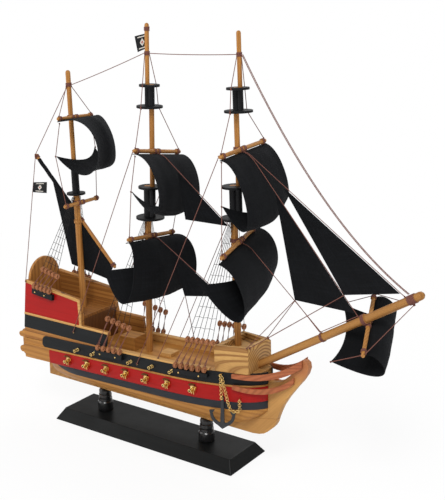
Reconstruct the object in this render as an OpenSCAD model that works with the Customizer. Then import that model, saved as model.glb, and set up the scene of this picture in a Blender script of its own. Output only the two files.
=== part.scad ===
/* [Stand] */
// Length of the base board at its underside
base_l = 250; // [220:1:300]
// Width of the base board at its underside
base_w = 68.5; // [56:0.5:90]
// Height of the base board
base_h = 12.8; // [9:0.2:18]
// Slope of the base board's ends, measured along its length
base_in_x = 7.5; // [4:0.5:12]
// Slope of the base board's sides, measured along its width
base_in_y = 9.4; // [4:0.2:13]
// Place of the aft pillar along the base
pillar_aft_x = -76; // [-90:1:-60]
// Place of the fore pillar along the base
pillar_fore_x = 70; // [55:1:85]
// Diameter of a pillar's drum
pillar_d = 18; // [14:0.5:22]
// Diameter of a pillar's ringed neck
pillar_neck_d = 13; // [10:0.5:13.5]
// Height of the keel's underside above the table
keel_z = 39; // [34:0.5:41]

/* [Hull] */
// Half breadth of the hull amidships
hull_b = 36.4; // [34:0.2:39]
// Lean of the topsides inward for each millimetre of height
tumble = 0.11; // [0.08:0.01:0.14]
// Thickness of the painted strakes
strake_t = 0.8; // [0.5:0.1:1]
// Thickness of the bulwark boards
wall = 4; // [3:0.5:5]
// Height of the waist bulwarks above the deck
bulwark_h = 7; // [6:0.5:8]
// Thickness of the keel and the stem
stem_t = 8; // [6:0.5:9]
// Thickness of the cap rails
rail_t = 2; // [1.5:0.1:2.6]

/* [Castles] */
// Height of the sterncastle rail at the transom
castle_aft_z = 163.5; // [160:0.5:166]
// Height of the sterncastle rail at its fore end
castle_fore_z = 154; // [151:0.5:156]
// Rise of the transom's arch above the rail
arch_h = 24; // [20:0.5:27]
// Height of the forecastle above the sheer
fc_h = 27; // [24:0.5:29]
// Depth of the recess in the forecastle
fc_recess = 6; // [4:0.5:8]
// Width of the forecastle's rim
fc_rim = 6; // [5:0.5:7]

/* [Spars] */
// Diameter of the lower masts
lower_d = 7.2; // [6.6:0.1:7.6]
// Diameter of the topmasts
top_d = 5.4; // [4.8:0.1:5.8]
// Diameter of the topgallant masts
gallant_d = 4.6; // [4:0.1:5]
// Diameter of the bowsprit
sprit_d = 8.2; // [7.4:0.1:8.6]
// Length of the bowsprit forward of the forecastle
sprit_l = 203; // [198:1:208]
// Thickness of the round plates of the mast tops
plate_t = 2.3; // [1.8:0.1:2.8]
// Diameter of the square yards
yard_d = 4.4; // [4:0.1:4.8]
// Diameter of the slim yards on mizzen and bowsprit
slim_yard_d = 4; // [3.6:0.1:4.4]

/* [Cloth and line] */
// Thickness of the sailcloth
cloth_t = 0.7; // [0.5:0.05:0.9]
// Diameter of the brown thread
thread_d = 0.6; // [0.4:0.05:0.7]
// Diameter of the wooden deadeye beads
bead_d = 6.8; // [6.4:0.1:7]
// Diameter of a chain link's wire
wire_d = 0.6; // [0.5:0.05:0.7]

/* [Fittings] */
// Diameter of the small brass barrels
barrel_d = 3.4; // [2.8:0.1:3.8]
// Diameter of the carriage guns' barrels
gun_d = 2.6; // [2.2:0.1:3]
// Thickness of the anchor
anchor_t = 1.6; // [1.2:0.1:2]

/* [Clearances] */
// Radial running clearance of a yard's lashing on its spar
run_gap = 0.05; // [0.03:0.01:0.08]
// Gap between parts that only lie beside each other
lie_gap = 0.1; // [0.05:0.01:0.2]

/* [Hidden] */
$fn = 48;
eps = 0.01;
stern_x = -168;
gun_aft_x = -138;
red_aft_x = -127;
castle_fore_x = -82;
quarter_x = -39;
deck_z = 100;
quarter_z = deck_z + 25;
strip_z = deck_z + 22.4;
quarter_low_z = deck_z + 7;
poop_z = deck_z + 34.5;
deck_t = 3;
bow_start = 40;
bow_x = 150.5;
bow_pow = 2.2;
bow_n = 12;
belly_z = 85;
bilge_pow = 2.6;
rise = 0.0358;
trim = atan(rise);
lean = atan(tumble);
red_z = deck_z - 24.4;
boot_z = red_z - 8.6;
red_h = 16.2;
wale_h = 2.2;
wale_t = 1.1;
bevel = 0.3;
post_x = -153;
keel_aft_x = -161;
floor_h = 9;
fore_x = 105;
fore_rise = 21;
run_x = -84;
stem_half = stem_t / 2;
bow_end = bow_start + (bow_x - bow_start) / pow(1 - pow(stem_half / hull_b, 2), 1 / bow_pow);
run_l = (run_x - post_x) / sqrt(1 - pow(stem_half / hull_b, 2));

// Helpers for the hull's form
function mix(a, b, t) = a * (1 - t) + b * t;
function plan(x) = x <= bow_start ? 1 : sqrt(max(0, 1 - pow((x - bow_start) / (bow_end - bow_start),
    bow_pow)));
function run_f(x) = x >= run_x ? 1 : sqrt(1 - pow((run_x - x) / run_l, 2));
function keel_top(x) = keel_z + floor_h + (x > fore_x ? fore_rise * pow((x - fore_x) / (bow_x
    - fore_x), 2) : 0);
function sec(x, z) = z >= belly_z ? 1
    : pow(max(0, 1 - pow((belly_z - z) / (belly_z - keel_top(x)), bilge_pow)), 1 / bilge_pow);
function low_y(x, z) = stem_half + (hull_b * plan(x) * run_f(x) - stem_half) * sec(x, z);
function side_y(x, z) = stem_half + (hull_b * plan(x) - stem_half) * sec(x, z) - tumble * max(0, z
    - belly_z) * plan(x);
function slope_z(z, x) = z + rise * x;
function sheer_z(x) = slope_z(deck_z + bulwark_h, x);
function plan_slope(x) = x <= bow_start ? 0 : hull_b * (plan(x + 0.02) - plan(x - 0.02)) / 0.04;
function plan_n(x) = [-plan_slope(x), 1] / norm([plan_slope(x), 1]);
function low_slope(x) = x >= run_x ? plan_slope(x) : hull_b * (run_f(x + 0.02) - run_f(x - 0.02)) / 0.04;
function low_n(x) = [-low_slope(x), 1] / norm([low_slope(x), 1]);
function up_slope(z) = (z - belly_z) / cos(lean);

bow_xs = [for (k = [1:bow_n]) bow_start + (bow_x - bow_start) * sin(90 * k / bow_n)];
up_xs = concat([stern_x, gun_aft_x, red_aft_x, castle_fore_x, quarter_x, 0, bow_start], bow_xs);
run_n = 7;
low_xs = concat([for (k = [0:run_n]) run_x - (run_x - post_x) * cos(90 * k / run_n)], [-40, 0,
    bow_start], bow_xs);
fc_k = 10;
last_k = len(up_xs) - 1;

// A closed skin between two sheets of points, each of them rows of equal length
function flat_list(rows) = [for (r = rows) each r];
module shell(a, b) {
  n = len(a);
  m = len(a[0]);
  s = n * m;
  function ia(i, j) = i * m + j;
  function ib(i, j) = s + i * m + j;
  front = [for (i = [0:n - 2], j = [0:m - 2]) each [[ia(i, j), ia(i + 1, j), ia(i + 1, j + 1)],
      [ia(i, j), ia(i + 1, j + 1), ia(i, j + 1)]]];
  back = [for (i = [0:n - 2], j = [0:m - 2]) each [[ib(i, j), ib(i + 1, j + 1), ib(i + 1, j)],
      [ib(i, j), ib(i, j + 1), ib(i + 1, j + 1)]]];
  low = [for (i = [0:n - 2]) each [[ia(i, 0), ib(i, 0), ib(i + 1, 0)], [ia(i, 0), ib(i + 1, 0), ia(i
      + 1, 0)]]];
  high = [for (i = [0:n - 2]) each [[ia(i, m - 1), ib(i + 1, m - 1), ib(i, m - 1)],
      [ia(i, m - 1), ia(i + 1, m - 1), ib(i + 1, m - 1)]]];
  first = [for (j = [0:m - 2]) each [[ia(0, j), ib(0, j + 1), ib(0, j)], [ia(0, j), ia(0, j + 1), ib(0,
      j + 1)]]];
  end = [for (j = [0:m - 2]) each [[ia(n - 1, j), ib(n - 1, j), ib(n - 1, j + 1)],
      [ia(n - 1, j), ib(n - 1, j + 1), ia(n - 1, j + 1)]]];
  polyhedron(points = concat(flat_list(a), flat_list(b)), faces = concat(front, back, low, high, first,
      end));
}

// A lofted block: rows of points on the port side, mirrored to starboard
module loft(rows) {
  stbd = [for (r = rows) [for (p = r) [p[0], -p[1], p[2]]]];
  shell(rows, stbd);
}

// A strip lying on the hull's side from level to level, between two offsets
module strip(xs, levels, inner, outer, low = false) {
  a = [for (x = xs) let (n = low ? low_n(x) : plan_n(x)) [for (z = levels)
      let (h = slope_z(z, x), y = low ? low_y(x, h) : side_y(x, h)) [x + outer * n[0], y
          + outer * n[1], h]]];
  b = [for (x = xs) let (n = low ? low_n(x) : plan_n(x)) [for (z = levels)
      let (h = slope_z(z, x), y = low ? low_y(x, h) : side_y(x, h)) [x + inner * n[0], y
          + inner * n[1], h]]];
  shell(a, b);
}
module both() {
  children();
  mirror([0, 1, 0]) children();
}
// The flat part of the starboard side: x along, y up the side, z outward
module side_frame() {
  translate([0, -hull_b, belly_z]) rotate([90 - lean, 0, 0]) children();
}
module side_plate(points, from, to) {
  side_frame() translate([0, 0, from]) linear_extrude(to - from) polygon([for (p = points) [p[0],
      up_slope(p[1])]]);
}
// A place on the starboard side, with outward along -Y
module on_side(x, z, off = 0) {
  n = plan_n(x);
  translate([x + off * n[0], -side_y(x, z) - off * n[1], z]) rotate([0, 0, atan2(n[0], n[1])]) children();
}
module hull_frame() {
  rotate([0, -trim, 0]) children();
}
module line(a, b, d = thread_d) {
  v = b - a;
  translate(a) rotate([0, acos(v[2] / norm(v)), atan2(v[1], v[0])]) cylinder(d = d, h = norm(v),
      $fn = 16);
}

module stand_base() {
  color([0.03, 0.03, 0.03]) intersection() {
    translate([0, base_w / 2, 0]) rotate([90, 0, 0]) linear_extrude(base_w)
      polygon([[-base_l / 2, 0], [base_l / 2, 0], [base_l / 2 - base_in_x, base_h], [-base_l / 2
          + base_in_x, base_h]]);
    translate([-base_l / 2, 0, 0]) rotate([90, 0, 90]) linear_extrude(base_l)
      polygon([[-base_w / 2, 0], [base_w / 2, 0], [base_w / 2 - base_in_y, base_h], [-base_w / 2
          + base_in_y, base_h]]);
  }
}

module stand_pillars() {
  r = pillar_d / 2;
  n = pillar_neck_d / 2;
  h = keel_z - base_h;
  color([0.03, 0.03, 0.03]) for (x = [pillar_aft_x, pillar_fore_x]) translate([x, 0,
      base_h]) rotate_extrude()
    polygon([[0, 0], [r - 1, 0], [r, 1], [r, h * 0.38], [r - 1.2, h * 0.44], [n + 1.4, h * 0.46], [n
        + 1.4, h * 0.56],
        [n + 0.2, h * 0.58], [n + 0.2, h * 0.62], [n + 1, h * 0.64], [n + 1, h * 0.74], [n, h * 0.77],
            [n, h * 0.81],
        [n + 0.6, h * 0.83], [n + 0.6, h * 0.93], [n - 0.6, h], [0, h]]);
}

fore_edge = [for (k = [0:len(bow_xs) - 1]) if (bow_xs[k] > fore_x) [bow_xs[k], keel_top(bow_xs[k])]];
seam_k = 3;
module keel() {
  low_edge = [[keel_aft_x, keel_z], [keel_aft_x, slope_z(red_z, keel_aft_x)], [post_x, slope_z(red_z,
      post_x)],
      [post_x, keel_top(post_x)], [bow_xs[3], keel_top(bow_xs[3])], [bow_xs[4], keel_top(bow_xs[4])]];
  front = [[161.9, 62.5], [160.4, 57.2], [157.8, 52.8], [154.2, 48.7], [150.2, 45], [145.8, 42], [140,
      keel_z + 1],
      [132, keel_z]];
  color([0.72, 0.5, 0.26]) translate([0, stem_half, 0]) rotate([90, 0, 0]) linear_extrude(stem_t)
    polygon(concat(low_edge, [for (k = [0:seam_k]) if (fore_edge[k][0] > bow_xs[4]) fore_edge[k]],
        front));
}

module stem_knee() {
  aft = [for (k = [len(fore_edge) - 1:-1:seam_k]) fore_edge[k]];
  front = [[161.9, 62.5], [164.8, 70.5], [168.3, 78.6], [174.2, 88.5], [184.1, 102.3], [190.4, 110.4],
      [195.6, 119],
      [197.5, 125.6], [196.6, 130.6], [193.4, 133.1], [189, 132.4], [183, 124], [176, 113.5], [167,
          105.5],
      [158, 102], [bow_x, 101]];
  color([0.7, 0.46, 0.22]) translate([0, stem_half, 0]) rotate([90, 0, 0]) linear_extrude(stem_t)
    polygon(concat(aft, front));
}

module hull_bottom() {
  cuts = [0, 0.16, 0.46, 1];
  rows = [for (x = low_xs) concat(
      [for (c = cuts) let (z = mix(keel_top(x), slope_z(boot_z, x), c)) [x, low_y(x, z), z]],
      [let (z = slope_z(red_z, x)) [x, low_y(x, z), z]])];
  color([0.74, 0.53, 0.3]) loft(rows);
}

module hull_upper() {
  rows = [for (x = up_xs) let (n = plan_n(x), a = slope_z(red_z, x), b = slope_z(red_z + red_h, x),
      c = slope_z(red_z + red_h + wale_h, x), d = slope_z(deck_z, x)) [[x, side_y(x, a), a], [x,
          side_y(x, b), b],
      [min(bow_x, x + wale_t * n[0]), side_y(x, b) + wale_t * n[1], b + bevel],
      [min(bow_x, x + wale_t * n[0]), side_y(x, c) + wale_t * n[1], c - bevel],
      [x, side_y(x, c), c], [x, side_y(x, d), d]]];
  color([0.76, 0.55, 0.31]) difference() {
    loft(rows);
    mast_frame(main_m) translate([0, 0, -seat_h]) cylinder(d = lower_d, h = 2 * seat_h);
  }
}

boot_run = 44;
boot_aft_x = -131;
function boot_low(x) = x > boot_aft_x + boot_run ? 0 : 0.94 * pow((boot_aft_x + boot_run
    - x) / boot_run, 2);
module boot_strakes() {
  xs = [for (x = low_xs) if (x > boot_aft_x - 4 && x < bow_x - eps) x];
  function at(x, c, off) = let (n = low_n(x), a = slope_z(boot_z, x), b = slope_z(red_z, x), z = mix(a,
      b, c))
      [x + off * n[0], mix(low_y(x, a), low_y(x, b), c) + off * n[1], z];
  function rows(off) = [for (x = xs) [at(x, min(0.94, boot_low(x)), off), at(x, 0.985, off)]];
  color([0.06, 0.06, 0.07]) both() shell(rows(strake_t), rows(0));
}

module red_strakes() {
  xs = [for (x = up_xs) if (x > red_aft_x - eps && x < bow_x - eps) x];
  color([0.72, 0.1, 0.1]) both() strip(xs, [red_z, red_z + red_h], 0, strake_t);
}

gun_end_r = 5;
function gun_end(x) = let (u = 1 - min(1, (x - gun_aft_x + 0.2) / gun_end_r)) gun_end_r * (1 - sqrt(1
    - u * u));
module gun_strakes() {
  xs = concat([for (k = [0, 0.12, 0.4, 1]) gun_aft_x + k * gun_end_r],
      [for (x = up_xs) if (x > gun_aft_x + gun_end_r && x < bow_x - eps) x]);
  low = red_z + red_h + wale_h;
  high = deck_z + bulwark_h;
  function rows(off) = [for (x = xs) let (n = plan_n(x), c = gun_end(x)) [for (z = [low + c, deck_z,
      high - c])
      let (h = slope_z(z, x)) [x + off * n[0], side_y(x, h) + off * n[1], h]]];
  color([0.06, 0.06, 0.07]) both() shell(rows(strake_t), rows(0));
}

module waist_bulwarks() {
  xs = [for (x = up_xs) if (x > quarter_x - eps && x < up_xs[fc_k] + eps) x];
  z = deck_z + bulwark_h;
  color([0.76, 0.55, 0.31]) both() {
    strip(xs, [deck_z, z], -wall, 0);
    strip(xs, [z + lie_gap / 4, z + rail_t], -wall - 1, strake_t + 0.6);
  }
}

slant_x = 4;
function rail_z(x) = mix(castle_aft_z, castle_fore_z, (x - stern_x) / (castle_fore_x - stern_x));
module castle_sides() {
  z0 = deck_z + wall * tumble + lie_gap / 2;
  edge = [[stern_x, slope_z(z0, stern_x)], [quarter_x, slope_z(z0, quarter_x)], [quarter_x, quarter_z],
      [castle_fore_x + slant_x, quarter_z], [castle_fore_x, castle_fore_z], [stern_x, castle_aft_z]];
  color([0.74, 0.53, 0.29]) both() side_plate(edge, -wall, 0);
}

strip_w = 3.3;
module castle_rails() {
  t = strake_t + 0.7;
  fx = castle_fore_x;
  top = [[stern_x, castle_aft_z - strip_w], [fx - strip_w, castle_fore_z - strip_w + 0.4],
      [fx + slant_x - strip_w, quarter_z], [stern_x, quarter_z], [stern_x, strip_z], [quarter_x, strip_z],
      [quarter_x, quarter_z], [fx + slant_x, quarter_z], [fx, castle_fore_z], [stern_x, castle_aft_z]];
  color([0.84, 0.66, 0.38]) both() side_plate(top, 0, t);
}

module castle_panels() {
  fx = castle_fore_x;
  color([0.7, 0.1, 0.1]) both() side_plate([[stern_x, quarter_z], [fx + slant_x - strip_w, quarter_z],
      [fx - strip_w, castle_fore_z - strip_w + 0.4], [stern_x, castle_aft_z - strip_w]], 0, strake_t);
}

module quarter_strakes() {
  r = 3;
  x1 = quarter_x - 0.5;
  color([0.06, 0.06, 0.07]) both() side_frame() linear_extrude(strake_t) union() {
    polygon([[stern_x, up_slope(quarter_low_z)], [x1 - r, up_slope(quarter_low_z)], [x1,
        up_slope(quarter_low_z) + r],
        [x1, up_slope(strip_z) - r], [x1 - r, up_slope(strip_z)], [stern_x, up_slope(strip_z)]]);
  }
}

module stern_gallery() {
  half = hull_b - 2.5;
  z0 = slope_z(red_z, stern_x) + 2.2;
  ridge_x = stern_x - 7;
  color([0.74, 0.52, 0.28]) translate([0, half, 0]) rotate([90, 0, 0]) linear_extrude(2 * half) union() {
    polygon([[stern_x, z0], [stern_x, 103.5], [stern_x - 4, 103], [stern_x - 4, z0 + 2]]);
    translate([ridge_x, 93.5]) square([-ridge_x + stern_x - 1, 6.4]);
    translate([ridge_x, 96.7]) circle(r = 3.2);
    translate([ridge_x + 0.8, 74.4]) square([-ridge_x + stern_x - 1.8, 7.6]);
    translate([ridge_x + 0.8, 78.2]) circle(r = 3.8);
  }
}

function in_y(z) = hull_b - tumble * (z - belly_z) - wall / cos(lean);
module transom() {
  t = 3.6;
  z0 = slope_z(deck_z, stern_x) + rise * t;
  zr = castle_aft_z - 2;
  w = in_y(zr);
  r = (w * w + arch_h * arch_h) / (2 * arch_h);
  color([0.72, 0.5, 0.27]) translate([stern_x, 0, 0]) rotate([90, 0, 90]) linear_extrude(t) union() {
    polygon([[-in_y(z0), z0], [in_y(z0), z0], [w, zr], [-w, zr]]);
    intersection() {
      translate([0, zr + arch_h - r]) circle(r = r);
      translate([-w, zr - 1]) square([2 * w, arch_h + 2]);
    }
  }
}

bulkhead_x = castle_fore_x + slant_x - 1.5;
module poop_deck() {
  x0 = stern_x + 3.6;
  za = poop_z - deck_t;
  color([0.76, 0.55, 0.3]) difference() {
    translate([x0, 0, 0]) rotate([90, 0, 90]) linear_extrude(bulkhead_x - x0) polygon([[-in_y(za), za],
        [in_y(za), za], [in_y(poop_z), poop_z], [-in_y(poop_z), poop_z]]);
    mast_frame(mizzen_m) translate([0, 0, -2 * seat_h]) cylinder(d = lower_d, h = 4 * seat_h);
  }
}

module poop_bulkhead() {
  za = slope_z(deck_z, bulkhead_x);
  zb = poop_z - deck_t;
  t = 2.6;
  color([0.25, 0.14, 0.08]) translate([bulkhead_x - t, 0, 0]) rotate([90, 0, 90]) linear_extrude(t)
    polygon([[-in_y(za), za], [in_y(za), za], [in_y(zb), zb], [-in_y(zb), zb]]);
}

fc_aft = 105.4;
fc_front = 142.6;
fc_aft_b = 28.5;
fc_front_b = 22;
fc_z = (deck_z + bulwark_h) * cos(trim);
fc_bevel = 3;
fc_in = 2.4;
// Top of the forecastle: its edge slopes in all round
module fc_crown(z) {
  low = [[fc_aft, -fc_aft_b, z], [fc_front, -fc_front_b, z], [fc_front, fc_front_b, z], [fc_aft,
      fc_aft_b, z]];
  high = [for (p = low) [p[0] + (p[0] == fc_aft ? 0 : -fc_in), p[1] * (1 - fc_in / fc_aft_b), z
      + fc_bevel]];
  polyhedron(points = concat(low, high), faces = [[0, 1, 2], [0, 2, 3], [4, 6, 5], [4, 7, 6], [0, 5,
      1], [0, 4, 5], [1, 6, 2],
      [1, 5, 6], [2, 7, 3], [2, 6, 7], [3, 4, 0], [3, 7, 4]]);
}
module forecastle() {
  xs = [for (x = up_xs) if (x > up_xs[fc_k] - eps && x < bow_x - 2) x];
  rows = [for (x = xs) [for (z = [deck_z, deck_z + bulwark_h]) let (h = slope_z(z, x)) [x, side_y(x,
      h), h]]];
  top = fc_z + fc_h;
  color([0.78, 0.58, 0.33]) difference() {
    union() {
      loft(rows);
      hull_frame() translate([0, 0, fc_z]) linear_extrude(fc_h - fc_bevel) polygon([[fc_aft, -fc_aft_b],
          [fc_front, -fc_front_b], [fc_front, fc_front_b], [fc_aft, fc_aft_b]]);
      hull_frame() fc_crown(top - fc_bevel);
    }
    hull_frame() translate([0, 0, top - fc_recess]) linear_extrude(2 * fc_recess) polygon([
        [fc_aft + fc_rim, fc_rim - fc_aft_b], [fc_front - fc_rim, fc_rim - fc_front_b],
        [fc_front - fc_rim, fc_front_b - fc_rim], [fc_aft + fc_rim, fc_aft_b - fc_rim]]);
    mast_frame(fore_m) translate([0, 0, -seat_h]) cylinder(d = lower_d, h = 4 * seat_h);
    sprit_frame() translate([0, 0, -sprit_in]) cylinder(d = sprit_d, h = sprit_in + 40);
  }
}

module deck_cabin() {
  hull_frame() color([0.74, 0.53, 0.3]) translate([-40, -8, deck_z * cos(trim)]) cube([22, 20, 15]);
}

module deck_hatch() {
  hull_frame() color([0.78, 0.58, 0.32]) translate([14, -5, deck_z * cos(trim)]) cube([16, 15, 3.6]);
}

// Head rails: square bars swept from the hull's side to the stem
rail_n = 10;
function bz(a, b, c, d, t) = a * pow(1 - t, 3) + 3 * b * t * pow(1 - t, 2) + 3 * c * t * t * (1 - t)
    + d * pow(t, 3);
module head_rail(p, h0, h1, w) {
  rows = [for (k = [0:rail_n]) let (q = bz(p[0], p[1], p[2], p[3], k / rail_n), h = mix(h0, h1,
      k / rail_n))
      [[q[0], q[1], q[2] - h / 2], [q[0], q[1], q[2] + h / 2]]];
  back = [for (r = rows) [for (q = r) [q[0], q[1] - w, q[2]]]];
  shell(rows, back);
}
module head_rails() {
  gap = stem_half + lie_gap;
  hug = strake_t + 3 * lie_gap;
  xa = 121;
  ya = side_y(xa, 106) + hug;
  yl = side_y(xa, 96) + wale_t + hug;
  color([0.66, 0.4, 0.22]) both() {
    mirror([0, 1, 0]) head_rail([[xa, -ya, 108.6], [146, -19.5, 107.5], [170, -gap - 3, 111], [191,
        -gap, 130]],
        4.6, 9, 2.4);
    mirror([0, 1, 0]) head_rail([[xa + 2, -yl, 97.5], [144, -20, 92], [164, -gap - 2, 92], [182, -gap,
        110]],
        4.6, 7, 2.4);
  }
}

// Masts: foot place, foot height, rake in degrees
seat_h = 10;
main_m = [-7.3, 99.7, 0.92];
fore_m = [111.4, 131.6, -2.09];
mizzen_m = [-104.1, 135, -1.72];
top_off = (lower_d + top_d) / 2 + 0.3;
gal_off = (top_d + gallant_d) / 2 + 0.3;
miz_dir = 136;
miz_off = [top_off * cos(miz_dir), top_off * sin(miz_dir)];
module mast_frame(m) {
  translate([m[0], 0, m[1]]) rotate([0, m[2], 0]) children();
}
module pole(d, z0, z1) {
  r = d / 2;
  rotate_extrude() polygon([[0, z0], [r, z0], [r, z1 - r], [r * 0.87, z1 - r * 0.5], [r * 0.5, z1
      - r * 0.13], [0, z1]]);
}
module rod(d, z0, z1) {
  translate([0, 0, z0]) cylinder(d = d, h = z1 - z0);
}
// Spool of a mast top: two round plates and the wrapped doubling between them
module spool(a, b, da, db, z0, z1, d0, d1) {
  mid = [(a[0] + b[0]) / 2, (a[1] + b[1]) / 2];
  difference() {
    union() {
      translate([mid[0], mid[1], z0]) cylinder(d = d0, h = plate_t);
      translate([mid[0], mid[1], z1]) cylinder(d = d1, h = plate_t);
      translate([a[0], a[1], z0]) cylinder(d = da + 1.2, h = z1 - z0 + eps);
      translate([b[0], b[1], z0]) cylinder(d = db + 1.2, h = z1 - z0 + eps);
    }
    translate([a[0], a[1], z0 - 1]) cylinder(d = da, h = z1 - z0 + plate_t + 2);
    translate([b[0], b[1], z0 - 1]) cylinder(d = db, h = z1 - z0 + plate_t + 2);
  }
}
wood = [0.78, 0.54, 0.28];
black = [0.04, 0.04, 0.05];
main_top = [153.2, 186.2];
main_up = [271.5, 293.3];
main_tip = 357.4;
fore_top = [134.6, 166.6];
fore_up = [241.6, 263.6];
fore_tip = 319.6;
miz_top = [131.4, 167];
miz_tip = 270;
main_gx = top_off - gal_off;
fore_gx = top_off + gal_off;
module main_lower_mast() {
  color(wood) mast_frame(main_m) rod(lower_d, -seat_h, main_top[1] + plate_t);
}
module main_topmast() {
  color(wood) mast_frame(main_m) translate([top_off, 0, 0]) rod(top_d, main_top[0], main_up[1] + plate_t);
}
module main_topgallant() {
  color(wood) mast_frame(main_m) translate([main_gx, 0, 0]) pole(gallant_d, main_up[0], main_tip);
}
module main_tops() {
  color(black) mast_frame(main_m) {
    spool([0, 0], [top_off, 0], lower_d, top_d, main_top[0], main_top[1], 30.5, 25);
    spool([main_gx, 0], [top_off, 0], gallant_d, top_d, main_up[0], main_up[1], 27.6, 21.7);
  }
}
module fore_lower_mast() {
  color(wood) mast_frame(fore_m) rod(lower_d, -seat_h, fore_top[1] + plate_t);
}
module fore_topmast() {
  color(wood) mast_frame(fore_m) translate([top_off, 0, 0]) rod(top_d, fore_top[0], fore_up[1] + plate_t);
}
module fore_topgallant() {
  color(wood) mast_frame(fore_m) translate([fore_gx, 0, 0]) pole(gallant_d, fore_up[0], fore_tip);
}
module fore_tops() {
  color(black) mast_frame(fore_m) {
    spool([0, 0], [top_off, 0], lower_d, top_d, fore_top[0], fore_top[1], 33, 29);
    spool([fore_gx, 0], [top_off, 0], gallant_d, top_d, fore_up[0], fore_up[1], 28.5, 23);
  }
}
module mizzen_lower_mast() {
  color(wood) mast_frame(mizzen_m) rod(lower_d, -seat_h, miz_top[1] + plate_t);
}
module mizzen_topmast() {
  color(wood) mast_frame(mizzen_m) translate([miz_off[0], miz_off[1], 0]) pole(top_d, miz_top[0],
      miz_tip);
}
module mizzen_tops() {
  color(black) mast_frame(mizzen_m)
    spool([0, 0], miz_off, lower_d, top_d, miz_top[0], miz_top[1], 21, 21);
}

// Bowsprit: its frame has z along the spar, x down
sprit_x = 139;
sprit_z = 117.5;
sprit_a = 31.3;
sprit_in = 14;
module sprit_frame() {
  translate([sprit_x, 0, sprit_z]) rotate([0, 90 - sprit_a, 0]) children();
}
module bowsprit() {
  color(wood) sprit_frame() pole(sprit_d, -sprit_in, sprit_l);
}

// Yards: y along the yard, x forward, z up, with a lashing that turns on the spar
lash_t = 0.9;
module spar(d, half, shift) {
  r = d / 2;
  translate([0, shift, 0]) rotate([-90, 0, 0]) rotate_extrude() polygon([[0, -half], [r * 0.55, -half],
      [r * 0.9, -half + r * 0.5],
      [r, -half * 0.5], [r, half * 0.5], [r * 0.9, half - r * 0.5], [r * 0.55, half], [0, half]]);
}
band_t = 0.5;
module bands(d, places) {
  for (y = places) translate([0, y - 1.5, 0]) rotate([-90, 0, 0]) cylinder(d = d + 2 * band_t, h = 3);
}
function yard_fwd(spar_d, d) = spar_d / 2 + run_gap + lash_t * 0.6 + d / 2;
// Spec of a yard: mast, axis in the mast's frame, spar diameter, height, diameter, half length, shift, brace, cant
main_course_y = [main_m, [0, 0], lower_d, 134.6, yard_d, 40.5, -2, 0, -5.2];
main_topsail_y = [main_m, [top_off, 0], top_d, 226.6, yard_d, 39.8, 2, 0, -8.1];
fore_course_y = [fore_m, [0, 0], lower_d, 112.6, yard_d, 41, -5, 8, 10.4];
fore_topsail_y = [fore_m, [top_off, 0], top_d, 205.8, yard_d, 41.5, 2, 0, 4.3];
mizzen_topsail_y = [mizzen_m, miz_off, top_d, 218.6, slim_yard_d, 28.5, 1.6, 0, -1];
crossjack_y = [mizzen_m, [0, 0], lower_d, 123.2, slim_yard_d, 28.4, 1.4, 0, 1.2];
module yard_frame(s) {
  mast_frame(s[0]) translate([s[1][0], s[1][1], s[3]]) rotate([0, 0, s[7]]) translate([yard_fwd(s[2],
      s[4]), 0, 0])
    rotate([s[8], 0, 0]) children();
}
module square_yard(s) {
  ring = 3.4;
  color(wood) difference() {
    union() {
      yard_frame(s) {
        spar(s[4], s[5], s[6]);
        bands(s[4], [s[6] - s[5] * 0.86, -3.2, 3.2, s[6] + s[5] * 0.86]);
      }
      mast_frame(s[0]) translate([s[1][0], s[1][1], s[3] - ring / 2]) cylinder(r = s[2] / 2 + run_gap
          + lash_t, h = ring);
    }
    mast_frame(s[0]) translate([s[1][0], s[1][1], s[3] - 12]) cylinder(r = s[2] / 2 + run_gap, h = 24);
  }
}
module main_course_yard() {
  square_yard(main_course_y);
}
module main_topsail_yard() {
  square_yard(main_topsail_y);
}
module fore_course_yard() {
  square_yard(fore_course_y);
}
module fore_topsail_yard() {
  square_yard(fore_topsail_y);
}
module mizzen_topsail_yard() {
  square_yard(mizzen_topsail_y);
}
module crossjack_yard() {
  square_yard(crossjack_y);
}

// Sail spec: half width, then for the near leech, the middle and the far leech three control points,
// each forward of the head and down from it; the leeches blend into the middle by a power of the width
sail_n = 10;
sail_m = 12;
leech_pow = 2;
function head_drop(r) = r + band_t + lie_gap + cloth_t / 2;
function belly(c, t) = bz([0, 0], c[0], c[1], c[2], t);
function sail_at(s, r, u, t, off) = let (
    c = mix(s[2], u < 0 ? s[1] : s[3], pow(abs(u), leech_pow)),
    q = belly(c, t),
    dq = belly(c, min(1, t + 0.01)) - belly(c, max(0, t - 0.01)),
    n = [dq[1], dq[0]] / norm(dq))
  [q[0] + off * n[0], u * s[0], off * n[1] - head_drop(r) - q[1]];
module sail(s, y) {
  function grid(off) = [for (i = [0:sail_n]) [for (j = [0:sail_m]) let (p = sail_at(s, y[4] / 2,
      2 * i / sail_n - 1,
      j / sail_m, off)) [p[0], p[1] + y[6], p[2]]]];
  color([0.05, 0.05, 0.055]) yard_frame(y) shell(grid(cloth_t / 2), grid(-cloth_t / 2));
}
main_topsail_s = [41, [[38, -6], [63, 95], [3, 38]], [[33, -5], [50, 88], [8.5, 54]],
    [[31, -5], [46, 83], [2, 38]]];
main_course_s = [43, [[20, -15], [19, 125], [-28, 34]], [[33, -12], [29, 119], [5.5, 27]],
    [[47, -10], [40, 107], [-21, 27]]];
fore_topsail_s = [41.5, [[30, -3], [43, 118], [-1, 45]], [[29, 2], [40, 107], [12, 59]],
    [[27, 7], [39, 99], [-5, 37]]];
fore_course_s = [47, [[34, 9], [33, 117], [-24, 24]], [[34, 5.5], [21, 104], [7, 30]],
    [[36, 2], [19, 92], [-16, 33]]];
mizzen_topsail_s = [29, [[82, -24], [72, 101], [-4, 38]], [[59, -23], [63, 85], [10, 44]],
    [[28, -22], [53, 95], [0, 34]]];
module main_topsail() {
  sail(main_topsail_s, main_topsail_y);
}
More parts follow.
